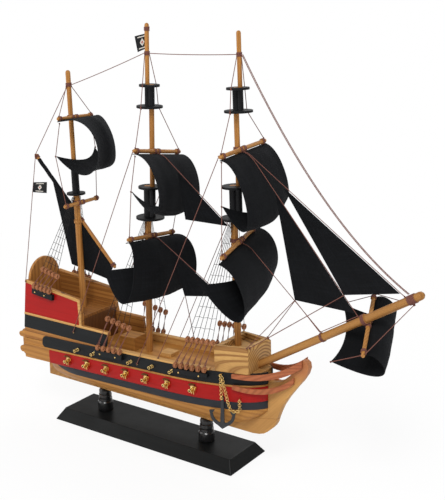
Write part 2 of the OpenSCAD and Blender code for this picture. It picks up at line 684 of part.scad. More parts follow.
module main_course() {
  sail(main_course_s, main_course_y);
}
module fore_topsail() {
  sail(fore_topsail_s, fore_topsail_y);
}
module fore_course() {
  sail(fore_course_s, fore_course_y);
}
module mizzen_topsail() {
  sail(mizzen_topsail_s, mizzen_topsail_y);
}

// Lateen yard beside the mizzen mast: y along the yard in its own frame
lateen_h = 101;
lateen_a = 47.3;
lateen_half = 83.4;
lateen_shift = 14.6;
lateen_y = lower_d / 2 + run_gap + lash_t * 0.6 + slim_yard_d / 2;
module lateen_frame() {
  mast_frame(mizzen_m) translate([0, lateen_y, lateen_h]) rotate([0, 0, 90]) rotate([lateen_a, 0,
      0]) children();
}
module lateen_yard() {
  ring = 3.4;
  color(wood) difference() {
    union() {
      lateen_frame() {
        spar(slim_yard_d, lateen_half, lateen_shift);
        bands(slim_yard_d, [lateen_shift - lateen_half * 0.95, 0, lateen_shift + lateen_half * 0.95]);
      }
      mast_frame(mizzen_m) translate([0, 0, lateen_h - ring / 2]) cylinder(r = lower_d / 2 + run_gap
          + lash_t, h = ring);
    }
    mast_frame(mizzen_m) translate([0, 0, lateen_h - 12]) cylinder(r = lower_d / 2 + run_gap, h = 24);
  }
}
// A four-cornered cloth with a belly, and a three-cornered one
module cloth(a, b, c, d, belly, n = 8, m = 8) {
  up = cross(b - a, d - a) / norm(cross(b - a, d - a));
  function at(u, v, off) = mix(mix(a, b, u), mix(d, c, u), v)
      + up * (belly * sin(180 * u) * sin(180 * v) + off);
  function grid(off) = [for (i = [0:n]) [for (j = [0:m]) at(i / n, j / m, off)]];
  color([0.05, 0.05, 0.055]) shell(grid(-cloth_t / 2), grid(cloth_t / 2));
}
module lateen_sail() {
  r = slim_yard_d / 2 + lie_gap + cloth_t / 2;
  lateen_frame() cloth([0, 58, -r], [0, -66, -r], [0, -71.6, -18.9], [0, -26.4, -51.9], 1.6, 8, 6);
}

// Spritsail yard under the bowsprit
spr_s = 135;
spr_cant = 32.8;
spr_half = 42;
spr_off = sprit_d / 2 + run_gap + lash_t * 0.6 + slim_yard_d / 2;
module spr_frame() {
  sprit_frame() translate([0, 0, spr_s]) rotate([0, 0, spr_cant]) translate([spr_off, 0, 0]) rotate([0,
      -90, 0]) children();
}
module spritsail_yard() {
  ring = 3.4;
  color(wood) difference() {
    union() {
      spr_frame() {
        spar(slim_yard_d, spr_half, 0);
        bands(slim_yard_d, [-spr_half * 0.84, -3.2, 3.2, spr_half * 0.84]);
      }
      sprit_frame() translate([0, 0, spr_s - ring / 2]) cylinder(r = sprit_d / 2 + run_gap + lash_t,
          h = ring);
    }
    sprit_frame() translate([0, 0, spr_s - 12]) cylinder(r = sprit_d / 2 + run_gap, h = 24);
  }
}
spritsail_s = [38, [[16, -2], [3.5, 73], [-34, -9]], [[19.5, -2], [6, 71], [-30, -1]],
    [[22.5, -2], [4.5, 73], [-34, -9]]];
module spritsail() {
  y = [0, 0, 0, 0, slim_yard_d, 0, 0];
  function grid(off) = [for (i = [0:sail_n]) [for (j = [0:sail_m]) sail_at(spritsail_s, y[4] / 2,
      2 * i / sail_n - 1,
      j / sail_m, off)]];
  color([0.05, 0.05, 0.055]) spr_frame() shell(grid(cloth_t / 2), grid(-cloth_t / 2));
}

// Points of spars and sails in the ship's frame
function turn_z(p, a) = [p[0] * cos(a) - p[1] * sin(a), p[0] * sin(a) + p[1] * cos(a), p[2]];
function turn_x(p, a) = [p[0], p[1] * cos(a) - p[2] * sin(a), p[1] * sin(a) + p[2] * cos(a)];
function turn_y(p, a) = [p[0] * cos(a) + p[2] * sin(a), p[1], -p[0] * sin(a) + p[2] * cos(a)];
function mast_pt(m, p) = [m[0], 0, m[1]] + turn_y(p, m[2]);
function yard_pt(s, p) = mast_pt(s[0], [s[1][0], s[1][1], s[3]]
    + turn_z([yard_fwd(s[2], s[4]), 0, 0] + turn_x(p, s[8]), s[7]));
function sprit_pt(p) = [sprit_x, 0, sprit_z] + turn_y(p, 90 - sprit_a);
function spr_pt(p) = sprit_pt([0, 0, spr_s] + turn_z([spr_off, 0, 0] + turn_y(p, -90), spr_cant));
function lateen_pt(p) = mast_pt(mizzen_m, [0, lateen_y, lateen_h] + turn_z(turn_x(p, lateen_a), 90));
function arm_pt(s, side, up) = yard_pt(s, [0, s[6] + side * (s[5] - 3), up * (s[4] / 2 + near_d)]);
function face_pt(s, y, t) = yard_pt(y, sail_at(s, y[4] / 2, -y[6] / s[0], t, cloth_t / 2 + near_d
    + swing_gap)
    + [0, y[6], 0]);
function clew_pt(s, y, side) = yard_pt(y, sail_at(s, y[4] / 2, side, 1, 0) + [0, y[6] + side * near_d,
    0]);
near_d = thread_d / 2 + 0.35;
swing_gap = 0.6;

// Three-cornered cloth: head, tack and clew
tri_n = 8;
module tri_cloth(a, b, c, belly) {
  up = cross(b - a, c - a) / norm(cross(b - a, c - a));
  function at(i, j, off) = let (v = i / tri_n, u = i == 0 ? 0 : j / i, p = mix(a, mix(b, c, u), v))
      p + up * (off + belly * 4 * v * (1 - v * v) * u * (1 - u) * 2);
  pts = [for (off = [cloth_t / 2, -cloth_t / 2], i = [0:tri_n], j = [0:i]) at(i, j, off)];
  s = (tri_n + 1) * (tri_n + 2) / 2;
  function id(i, j, k) = k * s + i * (i + 1) / 2 + j;
  skin = [for (k = [0, 1], i = [0:tri_n - 1], j = [0:i]) each concat(
      [k == 0 ? [id(i, j, k), id(i + 1, j + 1, k), id(i + 1, j, k)] : [id(i, j, k), id(i + 1, j, k),
          id(i + 1, j + 1, k)]],
      j == i ? [] : [k == 0 ? [id(i, j, k), id(i, j + 1, k), id(i + 1, j + 1, k)]
      : [id(i, j, k), id(i + 1, j + 1, k), id(i, j + 1, k)]])];
  rim = concat([for (i = [0:tri_n - 1]) each [[id(i, 0, 0), id(i + 1, 0, 0), id(i + 1, 0, 1)], [id(i,
      0, 0), id(i + 1, 0, 1), id(i, 0, 1)]]],
      [for (i = [0:tri_n - 1]) each [[id(i, i, 0), id(i + 1, i + 1, 1), id(i + 1, i + 1, 0)], [id(i, i,
          0), id(i, i, 1), id(i + 1, i + 1, 1)]]],
      [for (j = [0:tri_n - 1]) each [[id(tri_n, j, 0), id(tri_n, j + 1, 0), id(tri_n, j + 1, 1)],
      [id(tri_n, j, 0), id(tri_n, j + 1, 1), id(tri_n, j, 1)]]]);
  polyhedron(points = pts, faces = concat(skin, rim));
}
outer_tack = sprit_pt([-sprit_d / 2 - near_d, 0, 184]);
inner_tack = sprit_pt([-sprit_d / 2 - near_d, 0, 130]);
lash_s = 82;
lash_pt = sprit_pt([-sprit_d / 2 - near_d - 0.7, 0, lash_s + 1.5]);
outer_t = 0.09;
inner_t = 0.16;
top_t = 0.17;
low_t = 0.11;
stay_t = 0.12;
outer_head = face_pt(fore_topsail_s, fore_topsail_y, outer_t);
inner_head = face_pt(fore_topsail_s, fore_topsail_y, inner_t);
top_head = face_pt(main_topsail_s, main_topsail_y, top_t);
top_tack = mast_pt(fore_m, [-lower_d / 2 - near_d, 0, 125]);
low_head = face_pt(main_course_s, main_course_y, low_t);
low_tack = mast_pt(fore_m, [-lower_d / 2 - near_d, 0, 42]);
hang_gap = 0.65;
hang = [0, 0, -thread_d / 2 - cloth_t / 2 - hang_gap];
outer_clew = [232, 0, 208];
inner_clew = [178.5, 0, 193.3];
top_clew = [54.8, -12.7, 261.2];
low_clew = [43, 0, 173.3];
module stay_sails() {
  color(cloth_c) {
    tri_cloth(mix(outer_head, outer_tack, 0.23) + hang, mix(outer_head, outer_tack, 0.97) + hang,
        outer_clew, 4);
    tri_cloth(mix(inner_head, inner_tack, 0.21) + hang, mix(inner_head, inner_tack, 0.97) + hang,
        inner_clew, 4);
    tri_cloth(mix(top_head, top_tack, 0.16) + hang, mix(top_head, top_tack, 0.96) + hang, top_clew, 3);
    tri_cloth(mix(low_head, low_tack, 0.17) + hang, mix(low_head, low_tack, 0.84) + hang, low_clew, 3);
  }
}
cloth_c = [0.05, 0.05, 0.055];
flag_hoist = mast_pt(main_m, [main_gx, gallant_d / 2 + cloth_t / 2 + 0.2, main_tip - 17.4]);
flag_fwd = -0.5;
module flags() {
  w = 17;
  h = 15;
  a = flag_hoist + [flag_fwd, 0, h / 2];
  d = flag_hoist + [flag_fwd, 0, -h / 2];
  peak = lateen_pt([-slim_yard_d / 2 - band_t - near_d, lateen_shift + lateen_half - 4, 0]);
  p = mix(peak, stern_ring, 0.2) + [1, -0.6, 0];
  q = mix(peak, stern_ring, 0.28) + [1, -0.6, 0];
  cloth(a, a + [-w, 0, -4], d + [-w + 3, 0, -5], d, -1.6, 6, 4);
  cloth(p, p + [24, -2, 3], q + [24, -2, 2], q, 1.4, 6, 4);
}
stern_ring = [stern_x + 1.8, -side_y(stern_x, castle_aft_z - 1.6) - strake_t - 0.7 - near_d,
    castle_aft_z - 1.6];

// Fittings on the hull's side
gun_xs = concat([for (k = [0:5]) -97 + 28.4 * k], [77.5]);
barrel_xs = [-82, -57, -4.4, 25, 52];
module gun() {
  rotate([90, 0, 0]) difference() {
    union() {
      cylinder(d = gun_d, h = 6.5);
      translate([0, 0, 5.2]) cylinder(d = gun_d + 1.2, h = 1.3);
      translate([0, 0, 2.4]) cylinder(d = gun_d + 0.7, h = 0.8);
      cylinder(d = gun_d + 1, h = 1);
      translate([0, 0, 0]) linear_extrude(1.6) polygon([[-0.6, -1.6], [3.6, -4], [5, 3.4], [-1, 3.8]]);
    }
    translate([0, 0, 4]) cylinder(d = gun_d - 1.2, h = 4);
  }
}
module barrel() {
  rotate([90, 0, 0]) rotate_extrude() polygon([[0, 0], [barrel_d * 0.55, 0], [barrel_d * 0.55, 1],
      [barrel_d * 0.42, 1.3],
      [barrel_d * 0.42, 2.6], [barrel_d / 2, 2.8], [barrel_d / 2, 3.6], [barrel_d * 0.38, 3.9],
          [barrel_d * 0.38, 5.4],
      [barrel_d / 2, 5.6], [barrel_d / 2, 6.6], [barrel_d * 0.25, 6.6], [barrel_d * 0.25, 5], [0, 5]]);
}
gun_z = red_z + 9;
module brass_guns() {
  color([0.75, 0.55, 0.22]) both() {
    for (x = gun_xs) on_side(x, slope_z(gun_z, x), strake_t + 3 * lie_gap) gun();
    for (x = barrel_xs) on_side(x, slope_z(red_z + red_h + wale_h + 6, x), strake_t
        + lie_gap / 2) rotate([-lean, 0, 0]) barrel();
  }
}
module port_lids() {
  color([0.3, 0.16, 0.08]) both() for (x = gun_xs)
    on_side(x, slope_z(gun_z, x) + 5.2, strake_t + lie_gap) translate([-2.6, -5, -0.5]) cube([6.6, 5, 1]);
}

chan_w = 4.4;
module channels() {
  color(black) both() {
    side_plate([[-153, 150.2], [-121, 146.8], [-121, 153], [-153, 156.4]], strake_t, strake_t + chan_w);
    side_plate([[-54, 97.4], [-15, 98.8], [-15, 104.7], [-54, 103.3]], strake_t, strake_t + chan_w);
    strip([for (k = [0:3]) bow_xs[k]], [deck_z, deck_z + 4.6],
        strake_t + lie_gap / 2, strake_t + chan_w);
  }
}
bead_off = strake_t + 0.7 + bead_d / 2 + 0.3;
bead_t = 3;
function side_pt(x, z, off) = [x + off * plan_n(x)[0], -side_y(x, z) - off * plan_n(x)[1], z];
function row(a, b, n) = [for (i = [0:n - 1]) mix(a, b, i / (n - 1))];
function up_z(x, z) = z + (strake_t + chan_w) * tumble + lie_gap + bead_d / 2;
miz_low = [for (x = row(-149, -125.5, 5)) side_pt(x, up_z(x, mix(156.4, 153, (x + 153) / 32)), bead_off)];
main_low = [for (x = row(-49, -18, 5)) side_pt(x, up_z(x, mix(103.3, 104.7, (x + 53) / 39)), bead_off)];
fore_low = [for (x = row(58, 92, 6)) side_pt(x, up_z(x, slope_z(deck_z + 4.6, x)), bead_off)];
miz_up = row([-139.5, -27, 180], [-118, -27, 175], 5);
main_up_row = row([-39, -32.6, 141], [-9, -32.6, 136], 5);
fore_up_row = row([68, -29.5, 138.5], [99.5, -29.5, 141], 6);
module bead(p) {
  translate(p - [bead_t / 2, 0, 0]) rotate([0, 90, 0]) difference() {
    cylinder(d = bead_d, h = bead_t);
    translate([0, 0, -1]) cylinder(d = bead_d * 0.35, h = bead_t + 2);
  }
}
module deadeyes() {
  color([0.62, 0.4, 0.2]) both() for (p = concat(miz_low, main_low, fore_low, miz_up, main_up_row,
      fore_up_row)) bead(p);
}
net_n = 9;
function net_top(m, z, i, n) = mast_pt(m, [(i - (n - 1) / 2) * 0.9, -lower_d / 2 - 0.9, z]);
module net(low, m, z) {
  n = len(low);
  tops = [for (i = [0:n - 1]) net_top(m, z, i, n)];
  r = [0, 0, bead_d / 2 + 0.1];
  for (i = [0:n - 1]) line(low[i] + r, tops[i], thread_d);
  for (k = [1:net_n]) line(mix(low[0] + r, tops[0], k / (net_n + 2)) - [0, thread_d, 0], mix(low[n
      - 1] + r, tops[n - 1], k / (net_n + 2))
      - [0, thread_d, 0], thread_d * 0.7);
}
module lanyards(low, up) {
  r = [0, 0, bead_d / 2 + 0.15];
  for (i = [0:len(low) - 1], k = [-0.6, 0.6]) line(low[i] + r + [k, 0, 0], up[i] - r + [k, 0, 0],
      thread_d);
}
module shrouds() {
  color(black) both() {
    net(main_up_row, main_m, main_top[0] - 2);
    net(fore_up_row, fore_m, fore_top[0] - 2);
    net(miz_up, mizzen_m, miz_top[0] - 2);
  }
}

// Fixed lines, and the whippings round the spars
brown = [0.33, 0.17, 0.08];
module whip(d, z, h) {
  translate([0, 0, z]) difference() {
    cylinder(d = d + 1.4, h = h);
    translate([0, 0, -1]) cylinder(d = d, h = h + 2);
  }
}
// Heights on the masts at which the stays are made fast
main_eye = main_tip - 30.4;
fore_eye = fore_tip - 22.6;
miz_eye = miz_tip - 16;
miz_head = mast_pt(mizzen_m, [miz_off[0] + top_d / 2 + near_d + 0.6, miz_off[1], miz_eye]);
main_aft = mast_pt(main_m, [main_gx - gallant_d / 2 - near_d - 0.6, 0, main_eye]);
main_fwd = mast_pt(main_m, [main_gx + gallant_d / 2 + near_d + 0.6, 0, main_eye]);
fore_aft = mast_pt(fore_m, [fore_gx - gallant_d / 2 - near_d - 0.6, 0, fore_eye]);
fore_fwd = mast_pt(fore_m, [fore_gx + gallant_d / 2 + near_d + 0.6, 0, fore_eye]);
function rim_pt(m, off, d, z, side) = mast_pt(m, [off[0], off[1] + side * (d / 2 + near_d), z]);
sag_n = 10;
module sag_line(a, b, drop) {
  n = 8;
  r = thread_d / 2;
  function at(t) = mix(a, b, t) - [0, 0, 4 * drop * t * (1 - t)];
  function ring(t) = let (v = at(t + 0.01) - at(t - 0.01), u = [-v[2], 0, v[0]] / norm([v[2], v[0]]))
      [for (k = [0:n - 1]) at(t) + r * (cos(360 * k / n) * u + sin(360 * k / n) * [0, 1, 0])];
  pts = [for (i = [0:sag_n]) each ring(i / sag_n)];
  sides = [for (i = [0:sag_n - 1], k = [0:n - 1]) let (p = i * n + k, q = i * n + (k + 1) % n)
      each [[p, q + n, p + n], [p, q, q + n]]];
  e = sag_n * n;
  caps = concat([for (k = [1:n - 2]) [0, k + 1, k]], [for (k = [1:n - 2]) [e, e + k, e + k + 1]]);
  polyhedron(points = pts, faces = concat(sides, caps));
}
module lift_head(m, gx, head_z, up, d0, d1) {
  for (k = [-1, 1]) {
    top = mast_pt(m, [gx, k * (gallant_d / 2 + near_d + 0.7), head_z]);
    rim1 = rim_pt(m, [(gx + top_off) / 2, 0], d1, up[1] + plate_t / 2, k);
    rim0 = rim_pt(m, [(gx + top_off) / 2, 0], d0, up[0] + plate_t / 2, k);
    line(top, rim1 + [0, 0, 0.4]);
    line(rim1 - [0, 0, 0.4], rim0 + [0, 0, 0.4]);
  }
}
module standing_rigging() {
  bow_end_pt = sprit_pt([-sprit_d / 2 - near_d - 0.7, 0, 189]);
  color(brown) {
    mast_frame(main_m) translate([main_gx, 0, 0]) {
      whip(gallant_d, main_eye - 2, 4);
      whip(gallant_d, main_tip - 8, 4);
    }
    mast_frame(fore_m) translate([fore_gx, 0, 0]) whip(gallant_d, fore_eye - 2, 4);
    mast_frame(mizzen_m) translate([miz_off[0], miz_off[1], 0]) whip(top_d, miz_eye - 2, 4);
    sprit_frame() {
      whip(sprit_d, lash_s, 3);
      whip(sprit_d, 186, 8);
    }
    line(miz_head, main_aft);
    line(main_fwd, fore_aft);
    line(inner_clew - [0, 0, 0.4], lash_pt - [0, 0.8, 0]);
    line(lash_pt, sprit_pt([-sprit_d / 2 - near_d - 0.7, 0, spr_s - 6]));
    for (k = [-1, 1]) sag_line(fore_fwd + [0, k, 0], bow_end_pt + [0, k, 0], 25);
    lift_head(main_m, main_gx, main_eye, main_up, 27.6, 21.7);
    lift_head(fore_m, fore_gx, fore_eye, fore_up, 28.5, 23);
    for (k = [-1, 1]) line(inner_clew + [0, k * 0.9, -0.4], [135, k * 20, fc_top_z(135) + 0.5]);
    for (k = [-1, 1]) line(outer_clew + [0, k * 0.9, -0.4], [137, k * 18, fc_top_z(137) + 0.5]);
    for (k = [-1, 1]) line(low_clew + [0, k * 0.9, -0.4], [31, k * 33, sheer_z(31) + rail_t + 0.5]);
    both() {
      lanyards(main_low, main_up_row);
      lanyards(fore_low, fore_up_row);
      lanyards(miz_low, miz_up);
    }
  }
}
function fc_top_z(x) = (fc_z + fc_h) / cos(trim) + rise * x;

// Lines with one end on a piece that moves
module hung(s, y, below) {
  for (k = [-1, 1]) {
    line(arm_pt(y, k, -1) + [0, 0, -2.6], clew_pt(s, y, k) + [0, k * near_d, 0]);
    line(clew_pt(s, y, k) + [0, k * near_d, -0.3], arm_pt(below, k, 1));
  }
}
function spr_arm(k) = spr_pt([slim_yard_d / 2 + near_d, k * (spr_half - 3), 0]);
function spr_clew(k) = spr_pt(sail_at(spritsail_s, slim_yard_d / 2, k, 1, 0) + [0, k * near_d, 0]);
module luff(s, y, t, tack, k) {
  n = ceil(t / 0.06);
  side = [0, 0.9 * k, 0];
  for (i = [1:n - 1]) line(face_pt(s, y, t * i / n) + side, face_pt(s, y, t * (i + 0.97) / n) + side);
  line(face_pt(s, y, t) + [0.6, 0, -0.3] + side, tack);
}
module running_rigging() {
  sprit_tip = sprit_pt([sprit_d / 2 + near_d + 0.7, 0, 189]);
  peak = lateen_pt([-slim_yard_d / 2 - band_t - near_d, lateen_shift + lateen_half - 4, 0]);
  color(brown) {
    luff(fore_topsail_s, fore_topsail_y, outer_t, outer_tack, 1);
    luff(fore_topsail_s, fore_topsail_y, inner_t, inner_tack, -1);
    luff(main_topsail_s, main_topsail_y, top_t, top_tack, 0);
    luff(main_course_s, main_course_y, low_t, low_tack, 0);
    luff(fore_course_s, fore_course_y, stay_t, lash_pt + [0, 0.8, 0], 0);
    hung(main_topsail_s, main_topsail_y, main_course_y);
    hung(fore_topsail_s, fore_topsail_y, fore_course_y);
    hung(mizzen_topsail_s, mizzen_topsail_y, crossjack_y);
    for (k = [-1, 1]) {
      line(rim_pt(main_m, [(main_gx + top_off) / 2, 0], 27.6, main_up[0], k), arm_pt(main_topsail_y, k,
          1));
      line(rim_pt(fore_m, [(fore_gx + top_off) / 2, 0], 28.5, fore_up[0], k), arm_pt(fore_topsail_y, k,
          1));
      line(mast_pt(mizzen_m, [miz_off[0], miz_off[1] + k * (top_d / 2 + near_d + 0.7), miz_eye - 2]),
          arm_pt(mizzen_topsail_y, k, 1));
      line(arm_pt(main_topsail_y, k, 0) + [-yard_d / 2 - near_d, 0, 0], [-90, -k * side_pt(-90, 116,
          strake_t + near_d)[1], 116]);
      line(arm_pt(fore_topsail_y, k, 0) + [-yard_d / 2 - near_d, 0, 0], [4, -k * side_pt(4, 99,
          strake_t + near_d)[1], 99]);
      line(sprit_tip + [0, k * 0.8, 0], spr_arm(k));
      line(spr_pt([-slim_yard_d / 2 - near_d, k * (spr_half - 3), 0]), spr_clew(k));
    }
    line(peak + [0, 0, 2.4], mast_pt(mizzen_m, [miz_off[0] - top_d / 2 - near_d - 0.7, miz_off[1],
        miz_eye - 4]));
    line(peak, stern_ring);
  }
}

// Anchor on the starboard bow: a flat casting whose eye turns on the chain's end pin
anchor_x = 112;
anchor_z = 84.5;
anchor_off = 2.2;
pin_d = 1.4;
eye_d = 3.8;
link_r = 1.5;
chain_gap = 0.3;
chain_off = anchor_off + anchor_t + link_r + wire_d / 2 + chain_gap;
module anchor_frame() {
  on_side(anchor_x, anchor_z, 0) rotate([90, 0, 0]) children();
}
// Half of the anchor's outline: eye, shank, inside of the arm, fluke, outside of the arm, crown
arm_r = 13.6;
arm_z = -18.4;
arm_w = 3;
arm_n = 10;
function arc_pts(r, z, from, to) = [for (k = [0:arm_n]) let (a = mix(from, to, k / arm_n)) [r * cos(a),
    z + r * sin(a)]];
anchor_half = concat(arc_pts(eye_d / 2, 0, 86, -44), [[1.5, -2.4], [2.2, -26]],
    arc_pts(arm_r - arm_w, arm_z + 0.8, -76, -8), [[10.9, -18.6], [8.4, -14.4], [14.4, -15.4]],
    arc_pts(arm_r, arm_z, -4, -68), [[0, -34.8]]);
half_n = len(anchor_half);
anchor_outline = concat(anchor_half, [for (k = [half_n - 2:-1:0]) [-anchor_half[k][0],
    anchor_half[k][1]]]);
module anchor() {
  color(black) anchor_frame() translate([0, 0, anchor_off]) linear_extrude(anchor_t) difference() {
    polygon(anchor_outline);
    circle(d = pin_d + 2 * run_gap);
  }
}
link_s = 2;
nail_d = 1;
hang_d = 0.5;
module link(flat) {
  rotate(flat ? [90, 0, 0] : [0, 90, 0]) rotate_extrude($fn = 24) translate([link_r,
      0]) circle(d = wire_d, $fn = 16);
}
module nail(x, z, l) {
  on_side(x, z, strake_t) rotate([90, 0, 0]) cylinder(d = nail_d, h = l);
}
up_n = 12;
up_x = 0.18;
// Second strand of the chain: down from the eye, round a bight and up to its nail
bight_r = 4.6;
bight_z = 76;
fall_l = 34;
eye_x = anchor_x - up_x * up_n;
eye_z = anchor_z + hang_d + link_s * up_n;
bight_x = 124.6;
fall_n = 29;
function strand(d) = d < fall_l ? [mix(eye_x + 1.9, bight_x - bight_r, d / fall_l), mix(eye_z - 2.2,
    bight_z, d / fall_l)]
    : d < fall_l + bight_r * PI ? let (a = 180 + 180 * (d - fall_l) / (bight_r * PI)) [bight_x
        + bight_r * cos(a), bight_z + bight_r * sin(a)]
    : [bight_x + bight_r, bight_z + d - fall_l - bight_r * PI];
function strand_a(d) = let (v = strand(d + 0.05) - strand(d - 0.05)) atan2(v[0], v[1]);
module anchor_chain() {
  color([0.8, 0.62, 0.3]) {
    anchor_frame() translate([0, 0, anchor_off - 0.7]) cylinder(d = pin_d, h = chain_off - anchor_off
        + 1.4);
    for (k = [0:up_n]) on_side(anchor_x - up_x * k, anchor_z + hang_d + link_s * k,
        chain_off) link(k % 2 == 0);
    nail(eye_x, eye_z + hang_d, chain_off + 1.6);
    for (k = [0:fall_n]) let (p = strand(k * link_s)) on_side(p[0], p[1], chain_off + 0.4) rotate([0,
        strand_a(k * link_s), 0]) link(k % 2 == 0);
    nail(strand(fall_n * link_s)[0], strand(fall_n * link_s)[1] + hang_d, chain_off + 1.6);
  }
}

stand_base();
stand_pillars();
keel();
stem_knee();
hull_bottom();
hull_upper();
boot_strakes();
red_strakes();
gun_strakes();
waist_bulwarks();
castle_sides();
castle_rails();
castle_panels();
quarter_strakes();
stern_gallery();
transom();
poop_deck();
poop_bulkhead();
forecastle();
deck_cabin();
deck_hatch();
head_rails();
main_lower_mast();
main_topmast();
main_topgallant();
main_tops();
fore_lower_mast();
fore_topmast();
fore_topgallant();
fore_tops();
mizzen_lower_mast();
mizzen_topmast();
mizzen_tops();
bowsprit();
main_course_yard();
main_topsail_yard();
fore_course_yard();
fore_topsail_yard();
mizzen_topsail_yard();
crossjack_yard();
main_course();
main_topsail();
fore_course();
fore_topsail();
mizzen_topsail();
lateen_yard();
lateen_sail();
spritsail_yard();
spritsail();
stay_sails();
flags();
brass_guns();
port_lids();
channels();
deadeyes();
shrouds();
standing_rigging();
running_rigging();
anchor();
anchor_chain();
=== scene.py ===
"""Model sailing ship on its stand: looks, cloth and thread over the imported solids."""
import math
from collections import namedtuple

import bpy
from mathutils import Matrix, Vector, noise


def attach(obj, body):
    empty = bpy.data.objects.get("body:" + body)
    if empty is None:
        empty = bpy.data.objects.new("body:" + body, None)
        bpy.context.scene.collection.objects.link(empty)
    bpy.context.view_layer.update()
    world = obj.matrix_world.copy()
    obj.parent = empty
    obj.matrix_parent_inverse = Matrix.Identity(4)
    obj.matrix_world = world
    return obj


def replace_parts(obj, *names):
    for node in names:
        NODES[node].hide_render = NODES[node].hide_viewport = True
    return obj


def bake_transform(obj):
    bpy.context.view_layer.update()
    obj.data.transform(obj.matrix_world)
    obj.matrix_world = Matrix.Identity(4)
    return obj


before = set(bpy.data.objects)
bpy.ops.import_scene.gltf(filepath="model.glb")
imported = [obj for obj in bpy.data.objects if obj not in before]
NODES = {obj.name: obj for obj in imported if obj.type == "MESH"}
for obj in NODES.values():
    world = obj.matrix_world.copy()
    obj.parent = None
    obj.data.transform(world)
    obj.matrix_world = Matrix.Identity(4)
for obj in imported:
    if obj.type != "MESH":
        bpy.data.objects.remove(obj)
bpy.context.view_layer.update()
MM = 0.001
scene = bpy.context.scene


# Camera, light and floor

def V(*p):
    return Vector(p)


def mix(a, b, t):
    return a * (1 - t) + b * t


def axes_of(axis):
    """An axis and two directions square to it."""
    axis = V(*axis).normalized()
    e = axis.orthogonal().normalized()
    return axis, e, axis.cross(e)


CAM_AZ, CAM_EL, CAM_DIST, CAM_ROLL, CAM_F = 34.48, 15.08, 973.8, -0.25, 950
CAM_AIM = V(92.11, 0, 231.51)
IMAGE_H = 500
SENSOR = 36
WHITE, FLOOR_GREY = (1, 1, 1, 1), (0.94, 0.94, 0.94, 1)
SOFT_LIGHT = 0.62
FLOOR_SIZE, FLOOR_Z = 30, -0.0004
FLOOR_FADE = {"From Min": 0.3, "From Max": 1.0, "To Min": 0.86, "To Max": 1.0}
# name, place, aim, size and power of each lamp
LAMPS = (
    ("key", (0.7, -1.5, 1.9), (0.05, 0, 0.2), 0.9, 26),
    ("fill", (-1.6, -1.0, 1.0), (0, 0, 0.2), 1.4, 9),
    ("back", (-0.3, 1.7, 1.5), (0, 0, 0.25), 1.2, 9),
)


def make_camera():
    a, e, r = (math.radians(x) for x in (CAM_AZ, CAM_EL, CAM_ROLL))
    back = V(math.sin(a) * math.cos(e), -math.cos(a) * math.cos(e), math.sin(e))
    side = V(math.cos(a), math.sin(a), 0)
    up = back.cross(side)
    side, up = side * math.cos(r) + up * math.sin(r), up * math.cos(r) - side * math.sin(r)
    data = bpy.data.cameras.new("camera")
    data.lens = CAM_F / IMAGE_H * SENSOR
    data.sensor_width = SENSOR
    data.clip_end = 20
    cam = bpy.data.objects.new("camera", data)
    cam.matrix_world = Matrix.Translation((CAM_AIM + back * CAM_DIST) * MM) @ Matrix(
        (side, up, back)).transposed().to_4x4()
    scene.collection.objects.link(cam)
    scene.camera = cam


def area_light(name, place, aim, size, power):
    data = bpy.data.lights.new(name, "AREA")
    data.shape = "DISK"
    data.size = size
    data.energy = power
    o = bpy.data.objects.new(name, data)
    o.location = place
    o.rotation_euler = (V(*aim) - V(*place)).to_track_quat("-Z", "Y").to_euler()
    scene.collection.objects.link(o)


def add_node(tree, kind, inputs=None, **attributes):
    """A node with its attributes set, and each input set to a value or linked to a socket."""
    n = tree.nodes.new(kind)
    for key, value in attributes.items():
        setattr(n, key, value)
    for key, value in (inputs or {}).items():
        if isinstance(value, bpy.types.NodeSocket):
            tree.links.new(value, n.inputs[key])
        else:
            n.inputs[key].default_value = value
    return n


def empty_tree(owner):
    owner.use_nodes = True
    owner.node_tree.nodes.clear()
    return owner.node_tree


def make_world():
    """Soft white light, and plain white where the camera sees past the floor."""
    scene.view_settings.view_transform = "Standard"
    scene.world = bpy.data.worlds.new("world")
    t = empty_tree(scene.world)
    soft = add_node(t, "ShaderNodeBackground", {"Color": WHITE, "Strength": SOFT_LIGHT})
    white = add_node(t, "ShaderNodeBackground", {"Color": WHITE, "Strength": 1})
    ray = add_node(t, "ShaderNodeLightPath").outputs
    rays = {0: ray["Is Camera Ray"], 1: ray["Is Transmission Ray"]}
    seen = add_node(t, "ShaderNodeMath", rays, operation="MAXIMUM")
    pick = add_node(t, "ShaderNodeMixShader", {0: seen.outputs[0], 1: soft.outputs[0], 2: white.outputs[0]})
    add_node(t, "ShaderNodeOutputWorld", {"Surface": pick.outputs[0]})


def make_floor():
    """A pale floor that keeps the shadow near the ship and fades to white away from it."""
    bpy.ops.mesh.primitive_plane_add(size=FLOOR_SIZE, location=(0, 0, FLOOR_Z))
    floor = bpy.context.object
    floor.name = "floor"
    m = bpy.data.materials.new("floor")
    t = empty_tree(m)
    flat = add_node(t, "ShaderNodeBsdfDiffuse", {"Color": FLOOR_GREY})
    glow = add_node(t, "ShaderNodeEmission", {"Strength": 1})
    place = add_node(t, "ShaderNodeTexCoord").outputs["Object"]
    far = add_node(t, "ShaderNodeVectorMath", {0: place}, operation="LENGTH").outputs["Value"]
    fade = add_node(t, "ShaderNodeMapRange", {"Value": far, **FLOOR_FADE}).outputs[0]
    seen = add_node(t, "ShaderNodeLightPath").outputs["Is Camera Ray"]
    share = add_node(t, "ShaderNodeMath", {0: seen, 1: fade}, operation="MULTIPLY").outputs[0]
    pick = add_node(t, "ShaderNodeMixShader", {0: share, 1: flat.outputs[0], 2: glow.outputs[0]})
    add_node(t, "ShaderNodeOutputMaterial", {"Surface": pick.outputs[0]})
    floor.data.materials.append(m)


make_camera()
make_world()
for lamp in LAMPS:
    area_light(*lamp)
make_floor()


# Materials

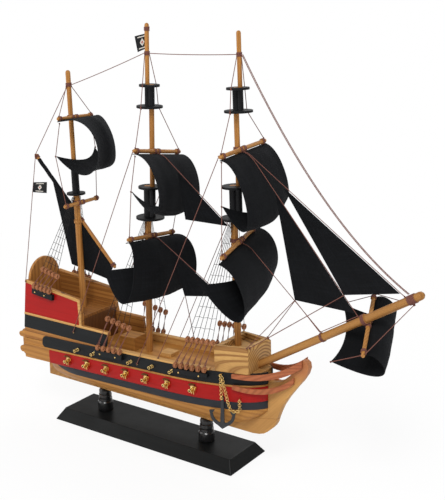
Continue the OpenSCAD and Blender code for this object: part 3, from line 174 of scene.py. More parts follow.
def rgb(r, g, b):
    """A colour as written on screen, 0 to 255, in linear light."""
    c = [x / 255 for x in (r, g, b)]
    return [x / 12.92 if x <= 0.04045 else ((x + 0.055) / 1.055) ** 2.4 for x in c] + [1]


class Shader:
    """A principled material with its texture nodes."""

    def __init__(self, name, **sockets):
        self.mat = bpy.data.materials.new(name)
        self.tree = empty_tree(self.mat)
        self.bsdf = self.node("ShaderNodeBsdfPrincipled")
        out = self.node("ShaderNodeOutputMaterial")
        self.link(self.bsdf.outputs["BSDF"], out.inputs["Surface"])
        for key, value in sockets.items():
            self.bsdf.inputs[key.replace("_", " ")].default_value = value

    def link(self, a, b):
        self.tree.links.new(a, b)

    def node(self, kind, inputs=None, **attributes):
        return add_node(self.tree, kind, inputs, **attributes)

    def coords(self, kind="Object", scale=(1, 1, 1), turn=(0, 0, 0), centre=(0, 0, 0)):
        c = self.node("ShaderNodeTexCoord").outputs[kind]
        shift = self.node("ShaderNodeVectorMath", {0: c, 1: [-x * MM for x in centre]}, operation="ADD")
        angles = [math.radians(x) for x in turn]
        turned = self.node("ShaderNodeMapping", {"Vector": shift.outputs[0], "Rotation": angles}).outputs[0]
        return self.node("ShaderNodeVectorMath", {0: turned, 1: scale}, operation="MULTIPLY").outputs[0]

    def noise(self, vector, scale, detail=2, rough=0.5, distort=0):
        return self.node("ShaderNodeTexNoise", {"Vector": vector, "Scale": scale, "Detail": detail,
                         "Roughness": rough, "Distortion": distort}).outputs["Fac"]

    def math(self, op, a, b=0.0):
        return self.node("ShaderNodeMath", {0: a, 1: b}, operation=op).outputs[0]

    def sum(self, a, share_a, b, share_b):
        return self.math("ADD", self.math("MULTIPLY", a, share_a), self.math("MULTIPLY", b, share_b))

    def span(self, value, low, high, a=0.0, b=1.0):
        return self.node("ShaderNodeMapRange", {"Value": value, "From Min": low, "From Max": high,
                         "To Min": a, "To Max": b}).outputs[0]

    def mix(self, fac, a, b):
        return self.node("ShaderNodeMix", {0: fac, 6: a, 7: b}, data_type="RGBA").outputs[2]

    def ramp(self, fac, stops):
        n = self.node("ShaderNodeValToRGB", {"Fac": fac})
        r = n.color_ramp
        while len(r.elements) < len(stops):
            r.elements.new(0.5)
        for e, (p, c) in zip(r.elements, stops):
            e.position = p
            e.color = c
        return n.outputs["Color"]

    def finish(self, colour, height, rough, strength, deep):
        self.link(colour, self.bsdf.inputs["Base Color"])
        self.link(rough, self.bsdf.inputs["Roughness"])
        bump = self.node("ShaderNodeBump", {"Height": height, "Strength": strength, "Distance": deep * MM})
        self.link(bump.outputs[0], self.bsdf.inputs["Normal"])
        return self.mat


# scale of a wave texture for a period of 1
WAVE_K = 0.314
WOOD_ROUGH, FIBRE = 0.5, 0.25
# length in mm over which a thread's strands wind once round it
THREAD_LAY = 1.1


def shade(c, k):
    return [min(1, x * k) for x in c[:3]] + [1]


def wood(name, light, dark, turn=(0, 0, 0), centre=(0, 30, 20), period=2.6, late=0.55, warp=4.0, planks=None,
         coat=0.12, long=0.06, head=None):
    """Varnished softwood: rings round an axis that turn brings to X, fibres along it, seams if planked."""
    s = Shader(name, Coat_Weight=coat * 0.4, Coat_Roughness=0.3, Specular_IOR_Level=0.2)
    v = s.coords(scale=(long, 1, 1), turn=turn, centre=centre)
    wave = {"Vector": v, "Scale": WAVE_K / (period * MM), "Distortion": warp, "Detail": 2.0,
            "Detail Scale": 0.55, "Detail Roughness": 0.55}
    rings = s.node("ShaderNodeTexWave", wave, wave_type="RINGS", rings_direction="X").outputs["Fac"]
    thin = s.noise(s.coords(scale=(0.02, 1, 1), turn=turn), 900, 3, 0.6)
    wide = s.noise(s.coords(scale=(0.25, 1, 1), turn=turn), 42, 2)
    base = s.ramp(rings, [(0.0, shade(light, 1.06)), (0.45, light), (0.72, mix3(light, dark, late * 0.45)),
                          (0.9, mix3(light, dark, late)), (1.0, mix3(light, dark, late * 0.7))])
    toned = s.mix(s.span(wide, 0.3, 0.7), base, s.mix(0.55, base, mix3(light, dark, 0.6)))
    fine = s.mix(s.span(thin, 0.35, 0.75, 0, FIBRE), toned, dark)
    height = s.sum(rings, -0.5, thin, 0.5)
    if head:
        colour, low, high = head
        place = s.node("ShaderNodeSeparateXYZ", {0: s.coords()}).outputs[2]
        fine = s.mix(s.span(place, low * MM, high * MM, 0, 0.7), fine, colour)
    if planks:
        axis, width = planks
        shift = s.coords(centre=(0, 0.4 * width, 0.4 * width))
        place = s.math("MULTIPLY", s.node("ShaderNodeSeparateXYZ", {0: shift}).outputs[axis], 1 / (width * MM))
        seam = s.math("LESS_THAN", s.math("FRACT", place), 0.07)
        plank = s.node("ShaderNodeCombineXYZ", {axis: s.math("FLOOR", place)}).outputs[0]
        tone = s.noise(plank, 3.7, 0)
        fine = s.mix(s.span(tone, 0.3, 0.7, 0, 0.35), fine, s.mix(0.5, fine, dark))
        fine = s.mix(s.math("MULTIPLY", seam, 0.75), fine, shade(dark, 0.35))
        height = s.math("SUBTRACT", height, s.math("MULTIPLY", seam, 2.0))
    rough = s.span(thin, 0.3, 0.7, WOOD_ROUGH - 0.08, WOOD_ROUGH + 0.1)
    return s.finish(fine, height, rough, 0.35, 0.12)


def mix3(a, b, t):
    return [x * (1 - t) + y * t for x, y in zip(a, b)]


def paint(name, colour, rough=0.45, along=(0.04, 1, 1), vary=0.16, coat=0.0, wear=0.0, under=None, shine=0.45):
    """Brushed paint on wood: streaks of the brush, a little mottling, and the wood's own fibres under it."""
    s = Shader(name, Coat_Weight=coat, Coat_Roughness=0.15, Specular_IOR_Level=shine)
    streak = s.noise(s.coords(scale=along), 420, 3, 0.6)
    cloud = s.noise(s.coords(), 26, 3, 0.6)
    peel = s.noise(s.coords(), 1300, 2)
    both = s.sum(streak, 0.6, cloud, 0.4)
    tone = s.ramp(both, [(0.3, shade(colour, 1 - vary)), (0.5, colour), (0.72, shade(colour, 1 + vary * 1.3))])
    if wear:
        rubbed = s.noise(s.coords(scale=(0.4, 1, 1)), 180, 4, 0.7)
        tone = s.mix(s.span(rubbed, 0.66, 0.78, 0, wear), tone, under)
    height = s.sum(streak, 0.7, peel, 0.3)
    return s.finish(tone, height, s.span(cloud, 0.3, 0.7, rough - 0.07, rough + 0.09), 0.25, 0.1)


def cloth_mat(name, colour):
    """Black cotton: a plain weave with slubs, on the sheet's own flat coordinates in metres."""
    s = Shader(name, Sheen_Weight=0.07, Sheen_Roughness=0.45, Specular_IOR_Level=0.12)
    s.bsdf.inputs["Sheen Tint"].default_value = rgb(120, 125, 135)
    wave = {"Vector": s.coords("UV"), "Scale": WAVE_K / (0.62 * MM), "Distortion": 1.2, "Detail": 1.0,
            "Detail Scale": 2.0}
    warp, weft = (s.node("ShaderNodeTexWave", wave, bands_direction=way).outputs["Fac"] for way in "XY")
    slub_u = s.noise(s.coords("UV", scale=(0.035, 1, 1)), 700, 2, 0.6)
    slub_v = s.noise(s.coords("UV", scale=(1, 0.035, 1)), 700, 2, 0.6)
    fade = s.noise(s.coords("UV"), 24, 3, 0.6)
    slub = s.sum(slub_u, 0.5, slub_v, 0.5)
    tone = s.ramp(slub, [(0.34, shade(colour, 0.55)), (0.5, colour), (0.66, shade(colour, 2.1))])
    tone = s.mix(s.span(fade, 0.35, 0.7, 0, 0.45), tone, shade(colour, 1.7))
    weave = s.math("MULTIPLY", s.math("ADD", warp, weft), 0.5)
    height = s.math("ADD", weave, s.math("MULTIPLY", slub, 1.6))
    return s.finish(tone, height, s.span(slub, 0.3, 0.7, 0.78, 0.95), 0.6, 0.14)


def flag_mat(name, colour):
    """Flag cloth with a plain off-white lozenge, its red spot and two bars, on coordinates from 0 to 1."""
    s = Shader(name, Specular_IOR_Level=0.25)
    x, y = s.node("ShaderNodeSeparateXYZ", {0: s.coords("UV")}).outputs[:2]
    dx = s.math("ABSOLUTE", s.math("SUBTRACT", x, 0.5))
    dy = s.math("ABSOLUTE", s.math("SUBTRACT", y, 0.5))
    lozenge = s.math("LESS_THAN", s.math("ADD", s.math("MULTIPLY", dx, 1.5), dy), 0.26)
    spot = s.math("LESS_THAN", s.math("ADD", s.math("MULTIPLY", dx, 1.5), dy), 0.1)
    bar = s.math("MULTIPLY", s.math("LESS_THAN", s.math("ABSOLUTE", s.math("SUBTRACT", dy, 0.36)), 0.035),
                 s.math("LESS_THAN", dx, 0.3))
    weave = s.noise(s.coords("UV"), 90, 3, 0.7)
    tone = s.mix(s.span(weave, 0.3, 0.7, 0, 0.5), colour, shade(colour, 2.0))
    print_on = s.math("MULTIPLY", s.math("MAXIMUM", lozenge, bar), s.span(weave, 0.25, 0.5, 0.65, 0.95))
    tone = s.mix(print_on, tone, rgb(205, 200, 190))
    tone = s.mix(s.math("MULTIPLY", spot, 0.9), tone, rgb(165, 40, 40))
    return s.finish(tone, weave, s.span(weave, 0.3, 0.7, 0.7, 0.9), 0.3, 0.1)


def thread_mat(name, colour):
    """Twisted thread: two strands wind round a tube whose coordinates run along it in metres, round it to 1."""
    s = Shader(name, Specular_IOR_Level=0.25, Roughness=0.75)
    u, v = s.node("ShaderNodeSeparateXYZ", {0: s.coords("UV")}).outputs[:2]
    turn = s.math("ADD", s.math("MULTIPLY", u, 1 / (THREAD_LAY * MM)), v)
    strand = s.math("ABSOLUTE", s.math("SINE", s.math("MULTIPLY", turn, math.pi)))
    fuzz = s.noise(s.coords(), 900, 2, 0.6)
    # The colour follows the strands: darker in the grooves between them is painted shade, lighter on their
    # crests is painted highlight; the fuzz adds random tone.
    tone = s.ramp(s.sum(strand, 0.7, fuzz, 0.3),
                  [(0.1, shade(colour, 0.4)), (0.6, colour), (0.95, shade(colour, 1.5))])
    return s.finish(tone, strand, s.span(fuzz, 0.3, 0.7, 0.65, 0.85), 0.7, 0.12)


def metal(name, colour, rough, tarnish):
    """Polished metal with a cloudy tarnish."""
    s = Shader(name, Metallic=1.0)
    cloud = s.noise(s.coords(), 220, 3, 0.6)
    grain = s.noise(s.coords(), 2200, 2)
    tone = s.mix(s.span(cloud, 0.42, 0.75, 0, 0.7), colour, tarnish)
    return s.finish(tone, grain, s.span(cloud, 0.3, 0.7, rough - 0.08, rough + 0.15), 0.15, 0.08)


PINE, PINE_DARK = rgb(186, 131, 64), rgb(118, 70, 30)
WARM, WARM_DARK = rgb(186, 130, 66), rgb(124, 74, 32)
PALE, PALE_DARK = rgb(208, 163, 98), rgb(158, 104, 50)
# The middle colour here is the boot band's black paint lightened to a grey: painted reflection.
BLACK, BLACK_PAINTED_REFLECTION, RED = rgb(20, 22, 24), rgb(40, 42, 47), rgb(158, 22, 20)

hull_wood = wood("hull_wood", PINE, PINE_DARK, centre=(0, 20, 150), period=4.6, late=0.4)
block_wood = wood("block_wood", PALE, PINE_DARK, turn=(0, -8, 0), centre=(142, 5, 106), period=3.2,
                  late=0.95, warp=2.4, long=0.12, coat=0.1)
arch_wood = wood("arch_wood", WARM, WARM_DARK, turn=(0, 90, 0), centre=(-150, 4, 150), period=4.5, late=0.7,
                 warp=3)
deck_wood = wood("deck_wood", rgb(152, 101, 47), PINE_DARK, centre=(0, 40, 160), period=3.6, late=0.6,
                 planks=(1, 7.5))
wall_wood = wood("wall_wood", WARM, WARM_DARK, centre=(0, 10, 120), period=4.4, late=0.75, planks=(2, 9))
strip_wood = wood("strip_wood", PALE, PALE_DARK, centre=(0, 0, 100), period=3, late=0.5)
stem_wood = wood("stem_wood", rgb(200, 150, 86), PINE_DARK, turn=(0, 46, 0), centre=(150, 24, 60), period=6,
                 late=0.34, head=(rgb(170, 100, 66), 104, 120))
rail_wood = wood("rail_wood", rgb(178, 104, 66), rgb(112, 56, 34), centre=(0, 20, 80), period=3, late=0.5)
mast_wood = wood("mast_wood", WARM, WARM_DARK, turn=(0, 90, 0), centre=(0, 6, 0), period=2.6, late=0.5)
yard_wood = wood("yard_wood", rgb(190, 136, 74), WARM_DARK, turn=(0, 0, 90), centre=(0, 0, 300), period=2.4,
                 late=0.5)
sprit_wood = wood("sprit_wood", rgb(168, 120, 63), WARM_DARK, turn=(0, 31.3, 0), centre=(139, 6, 117),
                  period=2.6, late=0.55)
lateen_wood = wood("lateen_wood", WARM, WARM_DARK, turn=(0, -47, 0), centre=(-100, 6, 240), period=2.4,
                   late=0.5)
bead_wood = wood("bead_wood", rgb(192, 132, 92), rgb(104, 58, 36), centre=(0, 0, 100), period=0.9, late=0.6,
                 long=0.3, coat=0.3)
dark_wood = wood("dark_wood", rgb(128, 82, 44), rgb(58, 32, 16), turn=(0, 90, 0), centre=(-80, 0, 100),
                 period=2.4, late=0.8, planks=(1, 3.4))
red_paint = paint("red_paint", RED, 0.42, vary=0.12, coat=0.03, shine=0.14)
black_paint = paint("black_paint", BLACK, 0.5, vary=0.3, wear=0.5, under=rgb(66, 62, 58), shine=0.2)
# The boot band's black paint, made a lighter grey: painted reflection.
boot_painted_reflection = paint("boot_painted_reflection", BLACK_PAINTED_REFLECTION, 0.5, vary=0.18, shine=0.2)
spool_paint = paint("spool_paint", rgb(15, 15, 17), 0.5, along=(1, 1, 0.05), vary=0.35, shine=0.18)
lacquer = paint("black_lacquer", rgb(14, 15, 15), 0.4, vary=0.3, coat=0.02, shine=0.12)
pillar_lacquer = paint("pillar_lacquer", rgb(12, 12, 13), 0.32, along=(1, 1, 1), vary=0.3, coat=0.35)
anchor_paint = paint("anchor_paint", rgb(38, 40, 43), 0.55, along=(1, 1, 1), vary=0.3)
cotton = cloth_mat("black_cotton", rgb(14, 15, 17))
flag_cloth = flag_mat("flag_cloth", rgb(19, 19, 21))
brown_thread = thread_mat("brown_thread", rgb(116, 74, 64))
black_thread = thread_mat("black_thread", rgb(30, 28, 28))
brass = metal("brass", rgb(236, 204, 132), 0.26, rgb(168, 122, 60))
# Near-black for the inside of the gun bores: painted shade in the hollow, not a colour of the brass.
bore_painted_shade = paint("bore_painted_shade", rgb(14, 12, 10), 0.6)


# Mesh building, in millimetres

class Builder:
    """Collects grids, tubes and turned shapes, and makes them one mesh."""

    def __init__(self):
        self.points, self.faces, self.uvs, self.mats = [], [], [], []

    def face(self, ids, uvs, mat=0):
        self.faces.append(ids)
        self.uvs.append(uvs)
        self.mats.append(mat)

    def grid(self, rows, uvs=None, mat=0, wrap=False):
        n, m, s = len(rows), len(rows[0]), len(self.points)
        self.points += [p for r in rows for p in r]
        uvs = uvs or [[(0, 0)] * (m + 1)] * n
        for i in range(n - 1):
            for j in range(m if wrap else m - 1):
                k = (j + 1) % m
                self.face([s + i * m + j, s + (i + 1) * m + j, s + (i + 1) * m + k, s + i * m + k],
                          [uvs[i][j], uvs[i + 1][j], uvs[i + 1][j + 1], uvs[i][j + 1]], mat)
        return s

    def ends(self, s, n, m):
        """Closes both ends of a wrapped grid of n rows of m points, whose first point is s."""
        e = s + (n - 1) * m
        self.face([s + k for k in range(m)], [(0, 0)] * m)
        self.face([e + k for k in reversed(range(m))], [(0, 0)] * m)

    def tube(self, path, r, sides=8, caps=True):
        """A round tube along a path; its coordinates run along it in metres and round it to 1."""
        path = [V(*p) for p in path]
        n = len(path)
        dirs = [(path[min(i + 1, n - 1)] - path[max(i - 1, 0)]).normalized() for i in range(n)]
        a = dirs[0].orthogonal().normalized()
        rows, uvs, run = [], [], 0.0
        for i, p in enumerate(path):
            a = (a - dirs[i] * a.dot(dirs[i])).normalized()
            b = dirs[i].cross(a)
            rows.append([p + (a * math.cos(t) + b * math.sin(t)) * r
                         for t in (2 * math.pi * k / sides for k in range(sides))])
            run += (p - path[i - 1]).length if i else 0
            uvs.append([(run * MM, k / sides) for k in range(sides + 1)])
        s = self.grid(rows, uvs, wrap=True)
        if caps:
            self.ends(s, n, sides)

    def lathe(self, profile, place, axis, mat=0, sides=20):
        """A turned shape: (radius, height) pairs along an axis from a place."""
        axis, a, b = axes_of(axis)
        rows = [[V(*place) + axis * h + (a * math.cos(t) + b * math.sin(t)) * r
                 for t in (2 * math.pi * k / sides for k in range(sides))] for r, h in profile]
        uvs = [[(k / sides, h * MM) for k in range(sides + 1)] for r, h in profile]
        self.grid(rows, uvs, mat, wrap=True)

    def solid(self, ring_a, ring_b):
        """A prism between two outlines of equal length."""
        s, n = len(self.points), len(ring_a)
        self.points += [V(*p) for p in ring_a] + [V(*p) for p in ring_b]
        self.face([s + k for k in reversed(range(n))], [(0, 0)] * n)
        self.face([s + n + k for k in range(n)], [(0, 0)] * n)
        for k in range(n):
            q = (k + 1) % n
            self.face([s + k, s + q, s + n + q, s + n + k], [(0, 0)] * 4)

    def make(self, name, body, mats, slot, sharp=40):
        mesh = bpy.data.meshes.new(name)
        mesh.from_pydata([tuple(c * MM for c in p) for p in self.points], [], self.faces)
        layer = mesh.uv_layers.new(name="flat")
        flat = [c for face in self.uvs for uv in face for c in uv]
        layer.data.foreach_set("uv", flat)
        mesh.polygons.foreach_set("material_index", self.mats)
        mesh.polygons.foreach_set("use_smooth", [True] * len(self.faces))
        mesh.update()
        mesh.set_sharp_from_angle(angle=math.radians(sharp))
        for m in mats if isinstance(mats, (list, tuple)) else [mats]:
            mesh.materials.append(m)
        o = bpy.data.objects.new(name, mesh)
        scene.collection.objects.link(o)
        if body:
            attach(o, body)
        return o


# The ship's own measures in millimetres and degrees, as in the part's source

LOWER_D, TOP_D, GALLANT_D, SPRIT_D, YARD_D, SLIM_D = 7.2, 5.4, 4.6, 8.2, 4.4, 4.0
RUN_GAP, LIE_GAP, LASH_T, CLOTH_T, THREAD_D = 0.05, 0.1, 0.9, 0.7, 0.6
HULL_B, TUMBLE, STRAKE_T, BULWARK_H, STEM_T, RAIL_T = 36.4, 0.11, 0.8, 7, 8, 2
KEEL_Z, STERN_X, GUN_AFT_X, RED_AFT_X, CASTLE_X, QUARTER_X = 39, -168, -138, -127, -82, -39
BOW_START, BOW_X, BOW_POW, BELLY_Z, BILGE_POW, RISE = 40, 150.5, 2.2, 85, 2.6, 0.0358
BOOT_Z, RED_Z, RED_H, WALE_H, WALE_T, DECK_Z = 67, 75.6, 16.2, 2.2, 1.1, 100
POST_X, FLOOR_H, FORE_X, FORE_RISE, RUN_X = -153, 9, 105, 21, -84
CASTLE_AFT_Z, PLATE_T = 163.5, 2.3
STEM_HALF = STEM_T / 2
BOW_END = BOW_START + (BOW_X - BOW_START) / (1 - (STEM_HALF / HULL_B) ** 2) ** (1 / BOW_POW)
RUN_L = (RUN_X - POST_X) / math.sqrt(1 - (STEM_HALF / HULL_B) ** 2)
NEAR_D = THREAD_D / 2 + 0.35
BAND_T = 0.5
LEECH_POW = 2
MAIN_M, FORE_M, MIZZEN_M = (-7.3, 99.7, 0.92), (111.4, 131.6, -2.09), (-104.1, 135, -1.72)
TOP_OFF = (LOWER_D + TOP_D) / 2 + 0.3
GAL_OFF = (TOP_D + GALLANT_D) / 2 + 0.3
MIZ_OFF = (TOP_OFF * math.cos(math.radians(136)), TOP_OFF * math.sin(math.radians(136)))
MAIN_GX, FORE_GX = TOP_OFF - GAL_OFF, TOP_OFF + GAL_OFF
MAIN_UP, FORE_UP = (271.5, 293.3), (241.6, 263.6)
MAIN_RIMS, FORE_RIMS = (27.6, 21.7), (28.5, 23)
MAIN_HEAD, FORE_HEAD, MIZZEN_HEAD = 327, 297, 254
SPRIT_X, SPRIT_Z, SPRIT_A = 139, 117.5, 31.3


def plan(x):
    return 1 if x <= BOW_START else math.sqrt(max(0, 1 - ((x - BOW_START) / (BOW_END - BOW_START)) ** BOW_POW))


def run_f(x):
    return 1 if x >= RUN_X else math.sqrt(max(0, 1 - ((RUN_X - x) / RUN_L) ** 2))


def keel_top(x):
    return KEEL_Z + FLOOR_H + (FORE_RISE * ((x - FORE_X) / (BOW_X - FORE_X)) ** 2 if x > FORE_X else 0)


def sec(x, z):
    if z >= BELLY_Z:
        return 1
    return max(0, 1 - ((BELLY_Z - z) / (BELLY_Z - keel_top(x))) ** BILGE_POW) ** (1 / BILGE_POW)


def low_y(x, z):
    return STEM_HALF + (HULL_B * plan(x) * run_f(x) - STEM_HALF) * sec(x, z)


def side_y(x, z):
    return STEM_HALF + (HULL_B * plan(x) - STEM_HALF) * sec(x, z) - TUMBLE * max(0, z - BELLY_Z) * plan(x)


def slope_z(z, x):
    return z + RISE * x


def side_n(x, low=False):
    """Outward direction of the port side, seen from above."""
    f = (lambda q: plan(q) * run_f(q)) if low else plan
    d = HULL_B * (f(x + 0.02) - f(x - 0.02)) / 0.04
    if x <= BOW_START and not (low and x < RUN_X):
        d = 0
    return V(-d, 1, 0).normalized()


def side_pt(x, z, off):
    n = side_n(x)
    return V(x + off * n.x, -side_y(x, z) - off * n.y, z)


def turn(p, axis, a):
    return Matrix.Rotation(math.radians(a), 3, axis) @ V(*p)


def mast_pt(m, p):
    return V(m[0], 0, m[1]) + turn(p, "Y", m[2])


# spar_d is the diameter of the spar that carries it; brace and cant turn it about the mast and the fore line
Yard = namedtuple("Yard", "mast axis spar_d height d half shift brace cant")
YARDS = {
    "main_course": Yard(MAIN_M, (0, 0), LOWER_D, 134.6, YARD_D, 40.5, -2, 0, -5.2),
    "main_topsail": Yard(MAIN_M, (TOP_OFF, 0), TOP_D, 226.6, YARD_D, 39.8, 2, 0, -8.1),
    "fore_course": Yard(FORE_M, (0, 0), LOWER_D, 112.6, YARD_D, 41, -5, 8, 10.4),
    "fore_topsail": Yard(FORE_M, (TOP_OFF, 0), TOP_D, 205.8, YARD_D, 41.5, 2, 0, 4.3),
    "mizzen_topsail": Yard(MIZZEN_M, MIZ_OFF, TOP_D, 218.6, SLIM_D, 28.5, 1.6, 0, -1),
    "crossjack": Yard(MIZZEN_M, (0, 0), LOWER_D, 123.2, SLIM_D, 28.4, 1.4, 0, 1.2),
}
# half is half its width; near, mid and far hold control points (forward, down) of the leeches and the middle
Sail = namedtuple("Sail", "half near mid far")
SAILS = {
    "main_topsail": Sail(41, ((38, -6), (63, 95), (3, 38)),
                           ((33, -5), (50, 88), (8.5, 54)), ((31, -5), (46, 83), (2, 38))),
    "main_course": Sail(43, ((20, -15), (19, 125), (-28, 34)),
                           ((33, -12), (29, 119), (5.5, 27)), ((47, -10), (40, 107), (-21, 27))),
    "fore_topsail": Sail(41.5, ((30, -3), (43, 118), (-1, 45)),
                           ((29, 2), (40, 107), (12, 59)), ((27, 7), (39, 99), (-5, 37))),
    "fore_course": Sail(47, ((34, 9), (33, 117), (-24, 24)),
                           ((34, 5.5), (21, 104), (7, 30)), ((36, 2), (19, 92), (-16, 33))),
    "mizzen_topsail": Sail(29, ((82, -24), (72, 101), (-4, 38)),
                           ((59, -23), (63, 85), (10, 44)), ((28, -22), (53, 95), (0, 34))),
    "spritsail": Sail(38, ((16, -2), (3.5, 73), (-34, -9)),
                           ((19.5, -2), (6, 71), (-30, -1)), ((22.5, -2), (4.5, 73), (-34, -9))),
}
LATEEN_H, LATEEN_A, LATEEN_HALF, LATEEN_SHIFT = 101, 47.3, 83.4, 14.6
LATEEN_Y = LOWER_D / 2 + RUN_GAP + LASH_T * 0.6 + SLIM_D / 2
SPR_S, SPR_CANT, SPR_HALF = 135, 32.8, 42
SPR_OFF = SPRIT_D / 2 + RUN_GAP + LASH_T * 0.6 + SLIM_D / 2


def yard_fwd(y):
    return y.spar_d / 2 + RUN_GAP + LASH_T * 0.6 + y.d / 2


def yard_pt(y, p):
    q = turn(p, "X", y.cant)
    return mast_pt(y.mast, V(y.axis[0], y.axis[1], y.height) + turn(V(yard_fwd(y), 0, 0) + q, "Z", y.brace))


def sprit_pt(p):
    return V(SPRIT_X, 0, SPRIT_Z) + turn(p, "Y", 90 - SPRIT_A)


def spr_pt(p):
    return sprit_pt(V(0, 0, SPR_S) + turn(V(SPR_OFF, 0, 0) + turn(p, "Y", -90), "Z", SPR_CANT))


def lateen_pt(p):
    return mast_pt(MIZZEN_M, V(0, LATEEN_Y, LATEEN_H) + turn(turn(p, "X", LATEEN_A), "Z", 90))


def bez(a, b, c, d, t):
    k = 1 - t
    return tuple(a[i] * k ** 3 + 3 * b[i] * t * k * k + 3 * c[i] * t * t * k + d[i] * t ** 3 for i in (0, 1))


def sail_at(s, r, u, t, off):
    e = abs(u) ** LEECH_POW
    c = [(0, 0)] + [[mix(m, q, e) for m, q in zip(*pair)] for pair in zip(s.mid, s.near if u < 0 else s.far)]
    q, a, b = bez(*c, t), bez(*c, min(1, t + 0.01)), bez(*c, max(0, t - 0.01))
    d = math.hypot(a[0] - b[0], a[1] - b[1])
    return V(q[0] + off * (a[1] - b[1]) / d, u * s.half,
             off * (a[0] - b[0]) / d - r - BAND_T - LIE_GAP - CLOTH_T / 2 - q[1])


def arm_pt(y, side, up):
    return yard_pt(y, (0, y.shift + side * (y.half - 3), up * (y.d / 2 + NEAR_D)))


def face_pt(name, t):
    s, y = SAILS[name], YARDS[name]
    return yard_pt(y, sail_at(s, y.d / 2, -y.shift / s.half, t, CLOTH_T / 2 + NEAR_D) + V(0, y.shift, 0))


def clew_pt(name, side):
    s, y = SAILS[name], YARDS[name]
    return yard_pt(y, sail_at(s, y.d / 2, side, 1, 0) + V(0, y.shift + side * NEAR_D, 0))


# Sails and flags

def ease(x):
    x = max(0.0, min(1.0, x))
    return x * x * (3 - 2 * x)


# The area that sheet_mesh returns is held in this span of width times length. Only the lateen's own share,
# 0.296, falls outside it, because its slanted edge stands in for the length of its cut.
LEAST_SHARE, MOST_SHARE = 0.301, 1
HALF_T, HEM_T = 0.24, 0.14


def sheet_mesh(name, at, nu, nv, mats, slot, body=None, seed=0.0, crease=0.5, hem=1.5, unit=False):
    """A closed cloth from at(u, v, off), with a hem and creases. Returns the piece, its flat size and area."""
    us, vs = [i / nu for i in range(nu + 1)], [j / nv for j in range(nv + 1)]
    mid = [[at(u, v, 0) for v in vs] for u in us]
    wide = [sum((mid[i + 1][j] - mid[i][j]).length for i in range(nu)) for j in range(nv + 1)]
    tall = [sum((mid[i][j + 1] - mid[i][j]).length for j in range(nv)) for i in range(nu + 1)]
    width, length = max(wide), max(tall)

    def bulge(u, v):
        edge = min(1, min(u, 1 - u) * width / 9, v * length / 14, (1 - v) * length / 9)
        long = noise.noise(V(u * 7 + seed, v * 1.6, seed))
        cross = noise.noise(V(u * 2.2, v * 6.5 + seed, seed + 7)) * 0.7
        small = noise.noise(V(u * 21 + seed, v * 17, seed + 3)) * 0.22
        return crease * (long + cross + small) * ease(edge)

    def half(u, v):
        near = min(u * width, (1 - u) * width, v * length, (1 - v) * length)
        return HALF_T + HEM_T * (1 - ease((near - hem) / 0.5))

    front = [[at(u, v, bulge(u, v) + half(u, v)) for v in vs] for u in us]
    back = [[at(u, v, bulge(u, v) - half(u, v)) for v in vs] for u in us]
    scale = (1, 1) if unit else (width * MM, length * MM)
    uv = [[(u * scale[0], v * scale[1]) for v in vs] for u in us]
    b = Builder()
    s0 = b.grid(front, uv)
    s1 = b.grid(back[::-1], uv[::-1])
    m = nv + 1

    def rim(ids_a, ids_b, uvs):
        for k in range(len(ids_a) - 1):
            b.face([ids_a[k], ids_b[k], ids_b[k + 1], ids_a[k + 1]], [uvs[k], uvs[k], uvs[k + 1], uvs[k + 1]])

    f, g = (lambda i, j: s0 + i * m + j), (lambda i, j: s1 + (nu - i) * m + j)
    rim([f(0, j) for j in range(m)][::-1], [g(0, j) for j in range(m)][::-1], uv[0][::-1])
    rim([f(nu, j) for j in range(m)], [g(nu, j) for j in range(m)], uv[nu])
    rim([f(i, 0) for i in range(nu + 1)], [g(i, 0) for i in range(nu + 1)], [r[0] for r in uv])
    last = range(nu, -1, -1)
    rim([f(i, nv) for i in last], [g(i, nv) for i in last], [r[nv] for r in uv][::-1])
    area = sum(((mid[i + 1][j] - mid[i][j]).cross(mid[i][j + 1] - mid[i][j])).length
               for i in range(nu) for j in range(nv))
    o = b.make(name, body, mats, slot, 60)
    box = width * length
    return o, (width * MM, length * MM), min(max(area, LEAST_SHARE * box), MOST_SHARE * box) * MM * MM


def square_sail(name, seed):
    s, y = SAILS[name], YARDS[name]

    def at(u, v, off):
        return yard_pt(y, sail_at(s, y.d / 2, 2 * u - 1, v, off) + V(0, y.shift, 0))
    o, flat, area = sheet_mesh(name + "_cloth", at, 56, 44, cotton, "black_cloth", name, seed)
    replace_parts(o, name)


for k, sail_name in enumerate(("main_topsail", "main_course", "fore_topsail", "fore_course", "mizzen_topsail")):
    square_sail(sail_name, 3.1 * k)


def spritsail_at(u, v, off):
    return spr_pt(sail_at(SAILS["spritsail"], SLIM_D / 2, 2 * u - 1, v, off))


o, flat, area = sheet_mesh("spritsail_cloth", spritsail_at, 52, 40, cotton, "black_cloth", "spritsail", 21.7)
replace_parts(o, "spritsail")


def four_corners(a, b, c, d, belly):
    up = (b - a).cross(d - a).normalized()

    def at(u, v, off):
        p = mix(mix(a, b, u), mix(d, c, u), v)
        return p + up * (belly * math.sin(math.pi * u) * math.sin(math.pi * v) + off)
    return at


LATEEN_R = SLIM_D / 2 + LIE_GAP + CLOTH_T / 2
lateen_at = four_corners(*[lateen_pt(p) for p in ((0, 58, -LATEEN_R), (0, -66, -LATEEN_R), (0, -71.6, -18.9),
                                                  (0, -26.4, -51.9))], 1.6)
o, flat, area = sheet_mesh("lateen_cloth", lateen_at, 60, 30, cotton, "black_cloth", "lateen", 31.3)
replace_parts(o, "lateen_sail")

# the cloth wound round the upper half of the lateen yard
WRAP_FROM, WRAP_END, WRAP_N, WRAP_SIDES = 3, 8, 48, 20
WRAP_T, WRAP_FOLD, WRAP_RIPPLE = 0.27, 0.09, 0.07


def wrap_at(y, a):
    fold = WRAP_FOLD * math.sin(0.55 * y) * math.sin(a + 0.2 * y)
    r = SLIM_D / 2 + WRAP_T + fold + WRAP_RIPPLE * math.sin(3 * a + 0.4 * y)
    return lateen_pt((r * math.cos(a), y, r * math.sin(a)))


